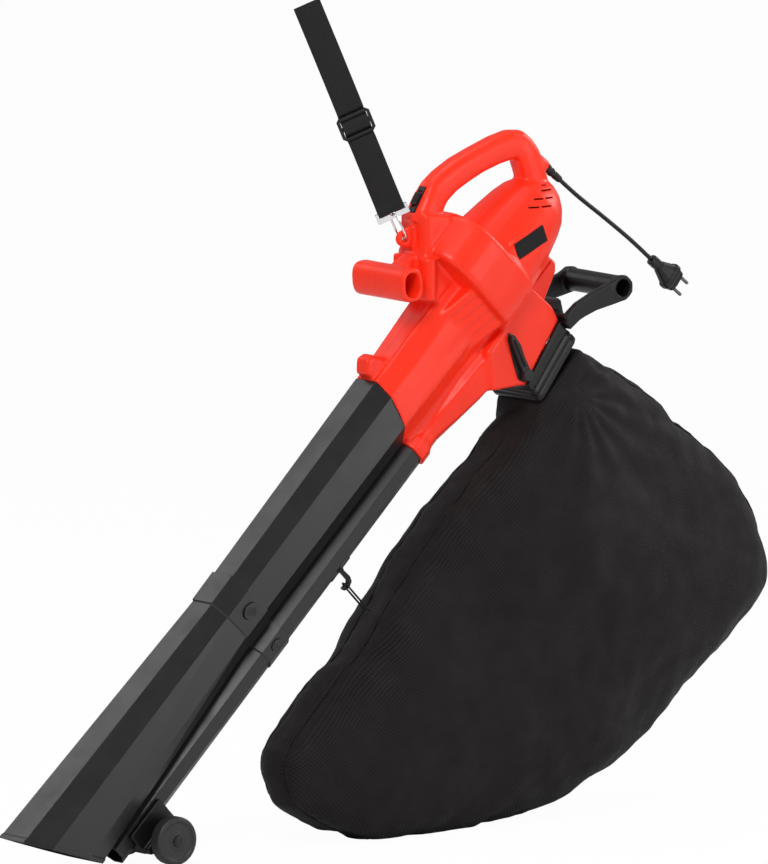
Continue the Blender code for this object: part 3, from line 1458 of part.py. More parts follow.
def main():
    clear_scene()
    assembly = Assembly()
    for name, half in housing().items():
        assembly.add(name, half, RED)
    for word, place in SCREWS.items():
        assembly.add(f"housing_screw_{word}", screw(*place), STEEL)

    assembly.add("upper_suction_tube", cut(upper_suction_tube(), *latch_windows("suction_latch")), BLACK)
    assembly.add("suction_nozzle", cut(suction_nozzle(), *latch_windows("suction_latch")), BLACK)
    assembly.add("upper_blow_tube", cut(upper_blow_tube(), *latch_windows("blow_latch")), BLACK)
    assembly.add("lower_blow_tube", cut(lower_blow_tube(), *latch_windows("blow_latch")), BLACK)
    for kind, spec in LATCHES.items():
        for side, word in ((-1, "left"), (1, "right")):
            piece = latch(spec)
            if side > 0:
                left = piece
                piece = mirrored(left)
                bpy.data.objects.remove(left, do_unlink=True)
            assembly.add(f"{kind}_{word}", piece, DARK, (spec[0], side * spec[5], spec[1]))

    axle = (AXLE_X, 0, AXLE_Z)
    assembly.add("wheel_bracket", wheel_bracket(), BLACK)
    assembly.add("wheel_axle", rod((AXLE_X, -63.5, AXLE_Z), (AXLE_X, 63.5, AXLE_Z), 4.0, 16), STEEL)
    for side, word in ((-1, "left"), (1, "right")):
        assembly.add(f"wheel_{word}", wheel(side), BLACK, axle)
        assembly.add(f"axle_cap_{word}", axle_cap(side), DARK)

    assembly.add("inlet_ring", inlet_ring(), BLACK)
    assembly.add("fan_backplate", fan_backplate(), BLACK)
    shaft_axis = (IMPELLER_X[0], 0, 0)
    assembly.add("impeller", impeller(), STEEL, shaft_axis)
    assembly.add("impeller_nut", impeller_nut(), STEEL, shaft_axis)
    assembly.add("motor_shaft", motor_shaft(), STEEL, shaft_axis)
    assembly.add("motor_cooling_fan", cooling_fan(), BLACK, shaft_axis)
    assembly.add("armature_core", armature_core(), STEEL, shaft_axis)
    assembly.add("armature_windings", armature_windings(), COPPER, shaft_axis)
    assembly.add("commutator", commutator(), COPPER, shaft_axis)
    assembly.add("stator_core", stator_core(), STEEL)
    assembly.add("field_coils", field_coils(), COPPER)
    assembly.add("front_bearing", bearing(BACKPLATE_X[1] + GAP, BACKPLATE_X[1] + 8), STEEL)
    assembly.add("rear_bearing", bearing(BRACKET_X[1] + 0.1, BRACKET_X[1] + 7.5), STEEL)
    assembly.add("rear_bearing_bracket", rear_bracket(), GREY)
    assembly.add("brush_yoke", brush_yoke(), BRASS)
    for side, word in ((-1, "left"), (1, "right")):
        assembly.add(f"carbon_brush_{word}", carbon_brush(side), DARK)

    assembly.add("outlet_frame", outlet_frame(), BLACK)
    assembly.add("bag_frame", bag_frame(), BLACK)
    assembly.add("rear_handle", rear_handle(), BLACK)
    assembly.add("bag_catch", bag_catch(), GREY, CATCH_PIVOT)
    pivot = (DIVERTER_X, 0, DIVERTER_Z)
    assembly.add("diverter_flap", diverter_flap(), GREY, pivot)
    assembly.add("mode_lever", mode_lever(), DARK, pivot)
    assembly.add("lever_plate", lever_plate(), DARK)

    assembly.add("switch_bezel", switch_bezel(), DARK)
    assembly.add("switch_slider", switch_slider(), DARK, (SWITCH_CENTRE.x, 0, SWITCH_CENTRE.y))
    assembly.add("switch_body", switch_body(), GREY)
    assembly.add("label_plate", label_plate(), DARK)
    assembly.add("cord_strain_relief", strain_relief(), BLACK)
    power_cord(assembly.root)
    assembly.add("plug_body", plug_body(), BLACK)
    assembly.add("plug_pins", plug_pins(), STEEL)

    assembly.add("shoulder_strap", shoulder_strap(), FABRIC)
    assembly.add("strap_slider", strap_slider(), BLACK)
    assembly.add("strap_loop", strap_loop(), STEEL)
    assembly.add("snap_hook", snap_hook(), STEEL)
    hinge = HOOK_MIDDLE + HOOK_WAY * (HOOK_GATE[0] + 2.1) + Vector((0, 9, 0))
    assembly.add("snap_hook_gate", hook_gate(), STEEL, tuple(hinge))
    assembly.add("bag", bag(), FABRIC)
    assembly.add("bag_hook", bag_hook(), BLACK)
    assembly.add("bag_hook_cord", hook_cord(), FABRIC)


main()
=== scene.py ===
# Looks for the electric leaf blower vacuum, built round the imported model.
# Lengths are in metres in the row frame. Points named machine are in millimetres along the tubes.

import json
import math

import bmesh
import bpy
import numpy as np
from mathutils import Matrix, Vector, noise
from mathutils.bvhtree import BVHTree


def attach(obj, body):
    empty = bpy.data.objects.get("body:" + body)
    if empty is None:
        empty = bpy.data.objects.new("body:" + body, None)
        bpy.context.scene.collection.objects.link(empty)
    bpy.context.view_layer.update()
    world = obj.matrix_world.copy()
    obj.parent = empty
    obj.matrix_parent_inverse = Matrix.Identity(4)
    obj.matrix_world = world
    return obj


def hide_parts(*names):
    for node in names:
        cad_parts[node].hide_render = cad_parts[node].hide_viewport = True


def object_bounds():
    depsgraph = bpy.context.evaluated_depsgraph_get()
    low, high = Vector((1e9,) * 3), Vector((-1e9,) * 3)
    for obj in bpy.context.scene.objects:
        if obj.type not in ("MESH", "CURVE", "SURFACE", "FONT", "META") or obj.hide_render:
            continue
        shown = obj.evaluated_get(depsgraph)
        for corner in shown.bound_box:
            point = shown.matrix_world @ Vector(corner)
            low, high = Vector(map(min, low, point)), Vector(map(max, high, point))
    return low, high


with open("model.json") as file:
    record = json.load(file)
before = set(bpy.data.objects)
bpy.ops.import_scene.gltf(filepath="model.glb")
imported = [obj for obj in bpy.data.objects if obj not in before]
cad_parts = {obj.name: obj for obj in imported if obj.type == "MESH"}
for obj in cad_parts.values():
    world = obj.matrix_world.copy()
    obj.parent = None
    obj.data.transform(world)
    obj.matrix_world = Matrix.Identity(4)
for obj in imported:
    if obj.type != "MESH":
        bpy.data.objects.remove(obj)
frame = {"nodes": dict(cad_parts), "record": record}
CAD_BOX = [list(corner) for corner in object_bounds()]
NODES = frame["nodes"]
BODIES = frame["record"]["behaviour"]["bodies"]
BODY_OF = {node: body for body, members in BODIES.items() for node in members}

MM = 0.001
TILT = math.radians(44.4)
GRIP = (1160, 0, 120)
MACHINE = Matrix.Rotation(-TILT, 4, "Y") @ Matrix.Translation(-Vector(GRIP) * MM)
PHOTO_SCALE = 740.0
PHOTO_SIZE = (768, 864)
AZIMUTH = math.radians(38)
ELEVATION = math.radians(8.3)
CAMERA_RIGHT = -0.1224
CAMERA_UP = -0.3657
CAMERA_DISTANCE = 30.0
WORLD_GREY = (0.34, 0.34, 0.35, 1)
FLOOR_GREY = (0.9, 0.9, 0.9, 1)
FLOOR_GLOW = 0.97
WHITE = (1, 1, 1, 1)
LAMPS = (
    ("key", (-2.2, -1.7, 1.9), 1.1, 63),
    ("front", (1.5, -3.0, 0.1), 1.1, 19),
    ("side", (2.5, -0.4, 1.0), 1.0, 27),
    ("top", (-0.2, 0.4, 2.4), 1.4, 18),
    ("back", (-1.0, 2.4, 1.3), 1.4, 9),
)
LAMP_TARGET = (-0.15, 0, -0.4)

scene = bpy.context.scene
collection = scene.collection
scene.view_settings.view_transform = "Standard"


def at(x, y, z):
    """A machine point in the row frame, in metres."""
    return MACHINE @ (Vector((x, y, z)) * MM)


# Camera, floor and light


def make_camera():
    """A long lens that sees the part from the photo's side, at the photo's scale."""
    toward = Vector((-math.sin(AZIMUTH) * math.cos(ELEVATION), -math.cos(AZIMUTH) * math.cos(ELEVATION),
                     math.sin(ELEVATION)))
    right = Vector((math.cos(AZIMUTH), -math.sin(AZIMUTH), 0))
    up = toward.cross(right)
    target = right * CAMERA_RIGHT + up * CAMERA_UP
    data = bpy.data.cameras.new("camera")
    data.lens = PHOTO_SCALE * CAMERA_DISTANCE * data.sensor_width / max(PHOTO_SIZE)
    data.clip_end = 200
    item = bpy.data.objects.new("camera", data)
    collection.objects.link(item)
    item.location = target + toward * CAMERA_DISTANCE
    item.rotation_mode = "QUATERNION"
    item.rotation_quaternion = toward.to_track_quat("Z", "Y")
    scene.camera = item


def area_light(name, place, size, power):
    data = bpy.data.lights.new(name, "AREA")
    data.size = size
    data.energy = power
    item = bpy.data.objects.new(name, data)
    collection.objects.link(item)
    item.location = place
    item.rotation_mode = "QUATERNION"
    item.rotation_quaternion = (Vector(place) - Vector(LAMP_TARGET)).to_track_quat("Z", "Y")


def background(tree, paths):
    """One where a ray of the named kinds meets the background."""
    rays = tree.nodes.new("ShaderNodeLightPath")
    total = None
    for name in paths:
        if total is None:
            total = rays.outputs[name]
            continue
        step = tree.nodes.new("ShaderNodeMath")
        step.operation = "MAXIMUM"
        tree.links.new(total, step.inputs[0])
        tree.links.new(rays.outputs[name], step.inputs[1])
        total = step.outputs[0]
    return total


def make_world():
    """Shown white behind the part, and a soft grey for its light."""
    world = bpy.data.worlds.new("studio")
    scene.world = world
    world.use_nodes = True
    tree = world.node_tree
    tree.nodes.clear()
    shown = tree.nodes.new("ShaderNodeBackground")
    shown.inputs["Color"].default_value = WHITE
    lit = tree.nodes.new("ShaderNodeBackground")
    lit.inputs["Color"].default_value = WORLD_GREY
    mix = tree.nodes.new("ShaderNodeMixShader")
    out = tree.nodes.new("ShaderNodeOutputWorld")
    tree.links.new(background(tree, ("Is Camera Ray", "Is Transmission Ray")), mix.inputs[0])
    tree.links.new(lit.outputs[0], mix.inputs[1])
    tree.links.new(shown.outputs[0], mix.inputs[2])
    tree.links.new(mix.outputs[0], out.inputs[0])


def make_floor():
    """A plain floor, almost white to the camera, that keeps the part's shadow."""
    low = CAD_BOX[0][2]
    bpy.ops.mesh.primitive_plane_add(size=60, location=(0, 0, low - 0.001))
    floor = bpy.context.object
    floor.name = "floor"
    material = bpy.data.materials.new("floor_white")
    material.use_nodes = True
    tree = material.node_tree
    tree.nodes.clear()
    glow = tree.nodes.new("ShaderNodeEmission")
    glow.inputs["Color"].default_value = WHITE
    glow.inputs["Strength"].default_value = 1.0
    matt = tree.nodes.new("ShaderNodeBsdfDiffuse")
    matt.inputs["Color"].default_value = FLOOR_GREY
    mix = tree.nodes.new("ShaderNodeMixShader")
    out = tree.nodes.new("ShaderNodeOutputMaterial")
    share = tree.nodes.new("ShaderNodeMath")
    share.operation = "MULTIPLY"
    share.inputs[1].default_value = FLOOR_GLOW
    tree.links.new(background(tree, ("Is Camera Ray",)), share.inputs[0])
    tree.links.new(share.outputs[0], mix.inputs[0])
    tree.links.new(matt.outputs[0], mix.inputs[1])
    tree.links.new(glow.outputs[0], mix.inputs[2])
    tree.links.new(mix.outputs[0], out.inputs[0])
    floor.data.materials.append(material)


def make_studio():
    make_world()
    make_floor()
    for lamp in LAMPS:
        area_light(*lamp)


# Materials


class Nodes:
    """Short names for building a material's node tree."""

    def __init__(self, name):
        self.material = bpy.data.materials.new(name)
        self.material.use_nodes = True
        self.tree = self.material.node_tree
        self.shader = self.tree.nodes["Principled BSDF"]
        self.place = self.new("ShaderNodeTexCoord").outputs["Object"]
        self.normal = None

    def new(self, kind, **values):
        node = self.tree.nodes.new(kind)
        for key, value in values.items():
            setattr(node, key, value)
        return node

    def link(self, source, target):
        self.tree.links.new(source, target)

    def put(self, name, value):
        socket = self.shader.inputs[name]
        if isinstance(value, (int, float, tuple)):
            socket.default_value = value
        else:
            self.link(value, socket)

    def math(self, operation, a, b=0.0):
        node = self.new("ShaderNodeMath", operation=operation)
        for k, value in enumerate((a, b)):
            if isinstance(value, (int, float)):
                node.inputs[k].default_value = value
            else:
                self.link(value, node.inputs[k])
        return node.outputs[0]

    def scaled(self, scale, turn=(0, 0, 0)):
        node = self.new("ShaderNodeMapping")
        node.inputs["Scale"].default_value = scale
        node.inputs["Rotation"].default_value = turn
        self.link(self.place, node.inputs["Vector"])
        return node.outputs[0]

    def noise(self, scale, detail=3.0, rough=0.5, place=None):
        node = self.new("ShaderNodeTexNoise")
        node.inputs["Scale"].default_value = scale
        node.inputs["Detail"].default_value = detail
        node.inputs["Roughness"].default_value = rough
        self.link(self.place if place is None else place, node.inputs["Vector"])
        return node.outputs["Fac"]

    def ramp(self, value, low, high, out_low, out_high):
        node = self.new("ShaderNodeMapRange")
        ends = (("From Min", low), ("From Max", high), ("To Min", out_low), ("To Max", out_high))
        for key, number in ends:
            node.inputs[key].default_value = number
        self.link(value, node.inputs["Value"])
        return node.outputs[0]

    def blend(self, share, first, second):
        node = self.new("ShaderNodeMix", data_type="RGBA")
        self.link(share, node.inputs[0])
        for k, colour in ((6, first), (7, second)):
            if isinstance(colour, tuple):
                node.inputs[k].default_value = (*colour, 1.0) if len(colour) == 3 else colour
            else:
                self.link(colour, node.inputs[k])
        return node.outputs[2]

    def bump(self, height, strength, distance):
        node = self.new("ShaderNodeBump")
        node.inputs["Strength"].default_value = strength
        node.inputs["Distance"].default_value = distance
        self.link(height, node.inputs["Height"])
        if self.normal is not None:
            self.link(self.normal, node.inputs["Normal"])
        self.normal = node.outputs[0]

    def rounded(self, radius):
        """Rounds the edges in the shading, and returns a mask of them."""
        node = self.new("ShaderNodeBevel", samples=6)
        node.inputs["Radius"].default_value = radius
        self.normal = node.outputs[0]
        own = self.new("ShaderNodeNewGeometry").outputs["Normal"]
        same = self.new("ShaderNodeVectorMath", operation="DOT_PRODUCT")
        self.link(node.outputs[0], same.inputs[0])
        self.link(own, same.inputs[1])
        return self.ramp(same.outputs["Value"], 0.97, 0.80, 0.0, 1.0)

    def done(self):
        if self.normal is not None:
            self.link(self.normal, self.shader.inputs["Normal"])
        return self.material


def tint(colour, factor):
    return tuple(min(1.0, c * factor) for c in colour)


def plastic(name, colour, roughness, grain=0.08, grain_scale=1400, edge=0.0008, mark_strength=0.25, paler=None,
            scuff=0.0, specular=0.45):
    """Moulded plastic: slight colour drift, fine grain, pale worn edges and light scuffs along the tubes.
    On the catch plastic the pale edges are a painted highlight instead.
    """
    n = Nodes(name)
    edges = n.rounded(edge)
    drift = n.noise(14, 3)
    body = n.blend(n.ramp(drift, 0.3, 0.7, 0.0, 1.0), tint(colour, 0.93), tint(colour, 1.05))
    # Pale edge tone in patches along the rounded edges: wear, and on the catch plastic a painted highlight.
    patchy_wear_and_highlight = n.ramp(n.noise(160, 3, 0.6), 0.42, 0.66, 0.0, mark_strength)
    body = n.blend(n.math("MULTIPLY", edges, patchy_wear_and_highlight), body, paler or tint(colour, 1.8))
    n.put("Base Color", body)
    shine = n.ramp(n.noise(26, 4, 0.6), 0.3, 0.7, roughness - 0.045, roughness + 0.06)
    if scuff:
        streaks = n.noise(3.0, 3, 0.6, n.scaled((9, 260, 260), (0, TILT, 0)))
        mask = n.ramp(streaks, 0.62, 0.74, 0.0, scuff)
        shine = n.math("ADD", shine, mask)
    n.put("Roughness", shine)
    n.bump(n.noise(grain_scale, 2, 0.5), grain, 0.0003)
    n.put("Specular IOR Level", specular)
    return n.done()


def metal(name, colour, roughness, brushed=(1, 1, 1), mark_strength=0.12):
    """Bare metal with fine streaks, stretched by the brushed scale."""
    n = Nodes(name)
    n.rounded(0.0003)
    streaks = n.noise(700, 3, 0.6, n.scaled(brushed))
    n.put("Base Color", n.blend(n.ramp(n.noise(60, 3), 0.3, 0.7, 0, 1), tint(colour, 0.86), colour))
    n.put("Roughness", n.ramp(streaks, 0.3, 0.7, roughness - 0.06, roughness + mark_strength))
    n.put("Metallic", 1.0)
    n.bump(streaks, 0.08, 0.0001)
    return n.done()


def windings(name):
    """Enamelled copper wire, wound close."""
    n = Nodes(name)
    wires = n.new("ShaderNodeTexWave", wave_type="BANDS", bands_direction="DIAGONAL")
    wires.inputs["Scale"].default_value = 260
    wires.inputs["Distortion"].default_value = 1.5
    n.link(n.place, wires.inputs["Vector"])
    n.put("Base Color", n.blend(wires.outputs["Fac"], (0.25, 0.07, 0.02), (0.62, 0.24, 0.09)))
    n.put("Metallic", 0.8)
    n.put("Roughness", n.ramp(n.noise(90), 0.3, 0.7, 0.3, 0.45))
    n.bump(wires.outputs["Fac"], 0.5, 0.0004)
    return n.done()


def rubber(name, colour, roughness):
    """Soft black rubber or vinyl with a fine grain."""
    n = Nodes(name)
    n.rounded(0.0006)
    n.put("Base Color", n.blend(n.ramp(n.noise(40), 0.3, 0.7, 0, 1), tint(colour, 0.8), tint(colour, 1.25)))
    n.put("Roughness", n.ramp(n.noise(55, 4, 0.6), 0.3, 0.7, roughness - 0.06, roughness + 0.1))
    n.put("Specular IOR Level", 0.35)
    n.bump(n.noise(900, 2), 0.04, 0.0002)
    return n.done()


def weave_height(n, across, along, pitch):
    """Dots on a diagonal grid, as a height from 0 to 1. The two inputs are lengths."""
    first = n.math("SINE", n.math("MULTIPLY", n.math("ADD", across, along), math.pi / pitch))
    second = n.math("SINE", n.math("MULTIPLY", n.math("SUBTRACT", across, along), math.pi / pitch))
    return n.ramp(n.math("MULTIPLY", first, second), -0.6, 0.6, 0.0, 1.0)


WEAVE = 0.0038
RIB_PITCH = 0.0017
ZIG_ACROSS = 0.0042
ZIG_ALONG = 0.0034


def bag_cloth(name):
    """Woven polyester: a diagonal dotted weave, soft sheen and slow colour drift."""
    n = Nodes(name)
    parts = n.new("ShaderNodeSeparateXYZ")
    n.link(n.scaled((1, 1, 1), (0, TILT, 0)), parts.inputs[0])
    faces = n.new("ShaderNodeSeparateXYZ")
    n.link(n.new("ShaderNodeNewGeometry").outputs["Normal"], faces.inputs[0])
    side = n.ramp(n.math("ABSOLUTE", faces.outputs["Y"]), 0.35, 0.55, 0.0, 1.0)
    x, y, z = parts.outputs
    on_side = weave_height(n, x, z, WEAVE)
    on_edge = weave_height(n, n.math("ADD", x, z), y, WEAVE)
    height = n.new("ShaderNodeMix", data_type="FLOAT")
    n.link(side, height.inputs[0])
    n.link(on_edge, height.inputs[2])
    n.link(on_side, height.inputs[3])
    weave = height.outputs[0]
    paler = n.ramp(n.noise(9, 4, 0.6), 0.35, 0.7, 0.0, 1.0)
    base = n.blend(paler, (0.0044, 0.0034, 0.0036), (0.0080, 0.0063, 0.0066))
    base = n.blend(n.ramp(weave, 0.15, 1.0, 0.0, 0.75), base, (0.021, 0.0172, 0.0180))
    n.put("Base Color", base)
    n.put("Roughness", n.ramp(n.noise(30, 3), 0.3, 0.7, 0.62, 0.8))
    n.put("Sheen Weight", 0.02)
    n.put("Sheen Roughness", 0.45)
    n.put("Specular IOR Level", 0.17)
    n.bump(weave, 0.5, 0.0007)
    n.bump(n.noise(60, 4, 0.65), 0.25, 0.0015)
    return n.done()


def webbing(name):
    """Flat woven webbing. The mesh's UV map holds metres across and along."""
    n = Nodes(name)
    uv = n.new("ShaderNodeTexCoord").outputs["UV"]
    parts = n.new("ShaderNodeSeparateXYZ")
    n.link(uv, parts.inputs[0])
    across = parts.outputs["X"]
    along = parts.outputs["Y"]
    ribs = n.math("SINE", n.math("MULTIPLY", along, 2 * math.pi / RIB_PITCH))
    zig = n.math("SINE", n.math("ADD", n.math("MULTIPLY", across, 2 * math.pi / ZIG_ACROSS),
                                n.math("MULTIPLY", along, 2 * math.pi / ZIG_ALONG)))
    height = n.ramp(n.math("ADD", ribs, zig), -2.0, 2.0, 0.0, 1.0)
    drift = n.ramp(n.noise(30, 3), 0.3, 0.7, 0.0, 1.0)
    base = n.blend(drift, (0.0045, 0.0042, 0.0044), (0.0080, 0.0076, 0.0078))
    n.put("Base Color", n.blend(n.ramp(height, 0.0, 1.0, 0.0, 0.6), base, (0.018, 0.017, 0.017)))
    n.put("Specular IOR Level", 0.25)
    n.put("Roughness", n.ramp(height, 0, 1, 0.75, 0.6))
    n.put("Sheen Weight", 0.05)
    n.bump(height, 0.45, 0.0005)
    return n.done()


RED = (1.0, 0.030, 0.007)
red_plastic = plastic("red_plastic", RED, 0.38, 0.05, 1500, 0.0009, 0.30, (1.0, 0.16, 0.10), 0.05, 0.34)
tube_plastic = plastic("tube_plastic", (0.0095, 0.0090, 0.0095), 0.33, 0.05, 1200, 0.0010, 0.5,
                       (0.06, 0.058, 0.06), 0.06, 0.5)
frame_plastic = plastic("frame_plastic", (0.0065, 0.0060, 0.0060), 0.38, 0.12, 1000, 0.0007, 0.5,
                        (0.06, 0.06, 0.062), 0.04, 0.32)
grain_plastic = plastic("grain_plastic", (0.009, 0.0085, 0.009), 0.46, 0.22, 800, 0.0006, 0.5,
                        (0.06, 0.06, 0.062), 0.0, 0.32)
lever_plastic = plastic("lever_plastic", (0.010, 0.0095, 0.010), 0.40, 0.12, 1000, 0.0005, 0.6,
                        (0.09, 0.085, 0.085), 0.0, 0.36)
plate_finish = plastic("plate_finish", (0.007, 0.007, 0.0075), 0.20, 0.03, 1600, 0.0004, 0.3,
                       (0.1, 0.1, 0.1))
# Catch plastic: its pale grey edges, at a share up to 0.8, are a painted highlight along the button ribs
# and catch edges.
catch_plastic = plastic("catch_plastic", (0.020, 0.0195, 0.020), 0.38, 0.12, 900, 0.0005, 0.8,
                        (0.28, 0.28, 0.29))
tyre_plastic = plastic("tyre_plastic", (0.022, 0.021, 0.022), 0.5, 0.2, 700, 0.0008, 0.5,
                       (0.06, 0.06, 0.06))
steel = metal("steel", (0.62, 0.62, 0.63), 0.24)
chrome = metal("chrome", (0.80, 0.80, 0.81), 0.12, mark_strength=0.06)
pin_metal = metal("pin_metal", (0.20, 0.19, 0.19), 0.34)
aluminium = metal("aluminium", (0.72, 0.73, 0.74), 0.36)
brass = metal("brass", (0.72, 0.52, 0.22), 0.3)
copper = windings("copper_wire")
lamination = metal("lamination", (0.32, 0.32, 0.33), 0.42, (1, 1, 6))
carbon = plastic("carbon", (0.02, 0.02, 0.021), 0.6, 0.3, 900, 0.0002, 0.2)
cable_rubber = rubber("cable_rubber", (0.0070, 0.0068, 0.0072), 0.40)
bag_material = bag_cloth("bag_cloth")
strap_material = webbing("webbing")


# Piece tools


def link_mesh(name, mesh, material, angle=None):
    """An object that shows the mesh, shaded smooth, with its sharp edges past the angle."""
    item = bpy.data.objects.new(name, mesh)
    collection.objects.link(item)
    mesh.materials.clear()
    mesh.materials.append(material)
    mesh.shade_smooth()
    if angle is not None:
        mesh.set_sharp_from_angle(angle=math.radians(angle))
    return item


def node_mesh(*names):
    """The joined meshes of CAD nodes, with each corner's points merged."""
    data = bmesh.new()
    for name in names:
        data.from_mesh(NODES[name].data)
    bmesh.ops.remove_doubles(data, verts=data.verts, dist=1e-6)
    mesh = bpy.data.meshes.new("joined")
    data.to_mesh(mesh)
    data.free()
    return mesh


def helper(name, mesh):
    """A passing object that carries a mesh into a modifier."""
    item = bpy.data.objects.new(name, mesh)
    collection.objects.link(item)
    return item


def evaluated(item):
    """The mesh that the object's modifiers leave."""
    graph = bpy.context.evaluated_depsgraph_get()
    return bpy.data.meshes.new_from_object(item.evaluated_get(graph))


def remeshed(mesh, voxel):
    """The same form as one even, closed skin."""
    item = helper("form", mesh)
    step = item.modifiers.new("remesh", "REMESH")
    step.mode = "VOXEL"
    step.voxel_size = voxel
    result = evaluated(item)
    bpy.data.objects.remove(item, do_unlink=True)
    return result


def points_of(mesh):
    flat = np.empty(len(mesh.vertices) * 3)
    mesh.vertices.foreach_get("co", flat)
    return flat.reshape(-1, 3)


def smoothed(mesh, rounds, weight=None, amount=0.5):
    """Evens out a dense mesh. weight, from 0 to 1 per point, holds places back."""
    points = points_of(mesh)
    count = len(points)
    ends = np.empty(len(mesh.edges) * 2, np.int32)
    mesh.edges.foreach_get("vertices", ends)
    ends = ends.reshape(-1, 2)
    degree = np.bincount(ends.ravel(), minlength=count).astype(float)[:, None]
    share = amount if weight is None else amount * weight[:, None]
    for _ in range(rounds):
        total = np.empty_like(points)
        for axis in range(3):
            total[:, axis] = (np.bincount(ends[:, 0], points[ends[:, 1], axis], count)
                              + np.bincount(ends[:, 1], points[ends[:, 0], axis], count))
        points = points + share * (total / degree - points)
    mesh.vertices.foreach_set("co", points.ravel())
    mesh.update()
    return mesh


def carry(item, *nodes):
    """The piece stands for CAD nodes, which it hides, and rides on their body."""
    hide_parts(*nodes)
    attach(item, BODY_OF[nodes[0]])
    return item


def soften(node, voxel, rounds, material):
    """Stands a softly rounded moulding in for a CAD node."""
    mesh = smoothed(remeshed(node_mesh(node), voxel), rounds)
    return carry(link_mesh(node + "_moulding", mesh, material), node)


def dress(material, *names, angle=32):
    """Gives CAD nodes their material, with smooth shading across their facets."""
    for name in names:
        mesh = NODES[name].data
        mesh.materials.clear()
        mesh.materials.append(material)
        mesh.shade_smooth()
        mesh.set_sharp_from_angle(angle=math.radians(angle))


def loft_mesh(rings):
    """A closed mesh through rings of world points."""
    data = bmesh.new()
    layers = [[data.verts.new(point) for point in ring] for ring in rings]
    count = len(layers[0])
    for first, second in zip(layers, layers[1:]):
        for i in range(count):
            j = (i + 1) % count
            data.faces.new((first[i], first[j], second[j], second[i]))
    data.faces.new(layers[0][::-1])
    data.faces.new(layers[-1])
    bmesh.ops.recalc_face_normals(data, faces=data.faces)
    mesh = bpy.data.meshes.new("loft")
    data.to_mesh(mesh)
    data.free()
    return mesh


def joined(meshes):
    """One mesh that holds all of the given ones."""
    data = bmesh.new()
    for mesh in meshes:
        data.from_mesh(mesh)
    result = bpy.data.meshes.new("joined")
    data.to_mesh(result)
    data.free()
    return result


def boolean(mesh, tool, operation):
    """What the operation leaves of one closed mesh and another."""
    item = helper("form", mesh)
    other = helper("tool", tool)
    step = item.modifiers.new("cut", "BOOLEAN")
    step.operation = operation
    step.solver = "MANIFOLD"
    step.object = other
    result = evaluated(item)
    bpy.data.objects.remove(item, do_unlink=True)
    bpy.data.objects.remove(other, do_unlink=True)
    return result


def machine_box(x, y, z):
    """A closed box from machine limits."""
    corners = ((x[0], y[0]), (x[1], y[0]), (x[1], y[1]), (x[0], y[1]))
    return loft_mesh([[at(a, b, c) for a, b in corners] for c in z])


def tube_mesh(path, radius, count):
    """A round tube along world points."""
    rings = []
    last = len(path) - 1
    side = None
    for k, point in enumerate(path):
        along = (path[min(last, k + 1)] - path[max(0, k - 1)]).normalized()
        if side is None:
            side = along.cross(Vector((0, 0, 1))).normalized()
        side = (side - along * side.dot(along)).normalized()
        up = along.cross(side)
        rings.append([point + side * math.cos(a) * radius + up * math.sin(a) * radius
                      for a in (2 * math.pi * i / count for i in range(count))])
    return loft_mesh(rings)


def spline_points(points, steps, closed=False):
    """Points on a smooth curve through the given ones."""
    count = len(points)
    result = []
    for i in range(count if closed else count - 1):
        if closed:
            p0, p1, p2, p3 = (points[(i + k) % count] for k in (-1, 0, 1, 2))
        else:
            p1, p2 = points[i], points[i + 1]
            p0 = points[i - 1] if i else 2 * p1 - p2
            p3 = points[i + 2] if i + 2 < count else 2 * p2 - p1
        for k in range(steps):
            t = k / steps
            result.append(0.5 * (2 * p1 + (p2 - p0) * t + (2 * p0 - 5 * p1 + 4 * p2 - p3) * t * t
                                 + (3 * p1 - p0 - 3 * p2 + p3) * t ** 3))
    if not closed:
        result.append(points[-1])
    return result


# Power cord

CORD_ROUTE = ((1239.1, 0, -10.3), (1244.0, 0, -50), (1253.5, 0, -105), (1262.0, 0, -160), (1267.0, 0, -207))
CORD_DIAMETER = 0.006
CORD_POINTS = 24


def make_cord():
    """The lead along its route, in even steps, with the plug at its end."""
    dense = spline_points([at(*point) for point in CORD_ROUTE], CORD_POINTS)
    lengths = [0.0]
    for a, b in zip(dense, dense[1:]):
        lengths.append(lengths[-1] + (b - a).length)
    line = []
    for k in range(CORD_POINTS):
        goal = lengths[-1] * k / (CORD_POINTS - 1)
        i = next(j for j in range(1, len(lengths)) if lengths[j] >= goal - 1e-9)
        line.append(dense[i - 1].lerp(dense[i], (goal - lengths[i - 1]) / (lengths[i] - lengths[i - 1])))
    curve = bpy.data.curves.new("mains_lead", "CURVE")
    curve.dimensions = "3D"
    curve.bevel_depth = CORD_DIAMETER / 2
    curve.bevel_resolution = 5
    curve.use_fill_caps = True
    spline = curve.splines.new("POLY")
    spline.points.add(len(line) - 1)
    for slot, point in zip(spline.points, line):
        slot.co = (*point, 1.0)
    item = bpy.data.objects.new("mains_lead", curve)
    collection.objects.link(item)
    curve.materials.append(cable_rubber)
    carry(item, "power_cord")
    plug = soften("plug_body", 0.0007, 6, cable_rubber)
    dress(pin_metal, "plug_pins")


# Housing

HOUSING_VOXEL = 0.0015
HOUSING_SPLIT = 0.12
LABEL_CENTRE = (1119, -60.6, 9)
LABEL_SIZE = (59, 23)
LABEL_GAP = 0.35
LABEL_TURN = math.radians(-23.5)
LABEL_TILT = math.radians(7.4)
SWITCH_CENTRE = (1059, 158.4)
SWITCH_TURN = math.radians(13.5)
VENT_ROWS = ((1203, 25, 11), (1199, 20.5, 22), (1184, 22, 34), (1169.5, 22, 38))
VENT_HALF_WIDTH = 1.1
VENT_BRIDGE = 3
SCREW_SLOT = (1121, -57)
MOUTH_X = 842
OUTLET_X = 984
OUTLET_Z = -134
OUTLET_SLOPE = 0.2
OUTLET_SINK = 0.15
CASING_RIM_X = 1080
CASING_RIM_Z = (-30, 126)


def along_slope(x, z, shift):
    """A place that lies level with another, before or behind it."""
    return x + shift * math.cos(TILT), z - shift * math.sin(TILT)


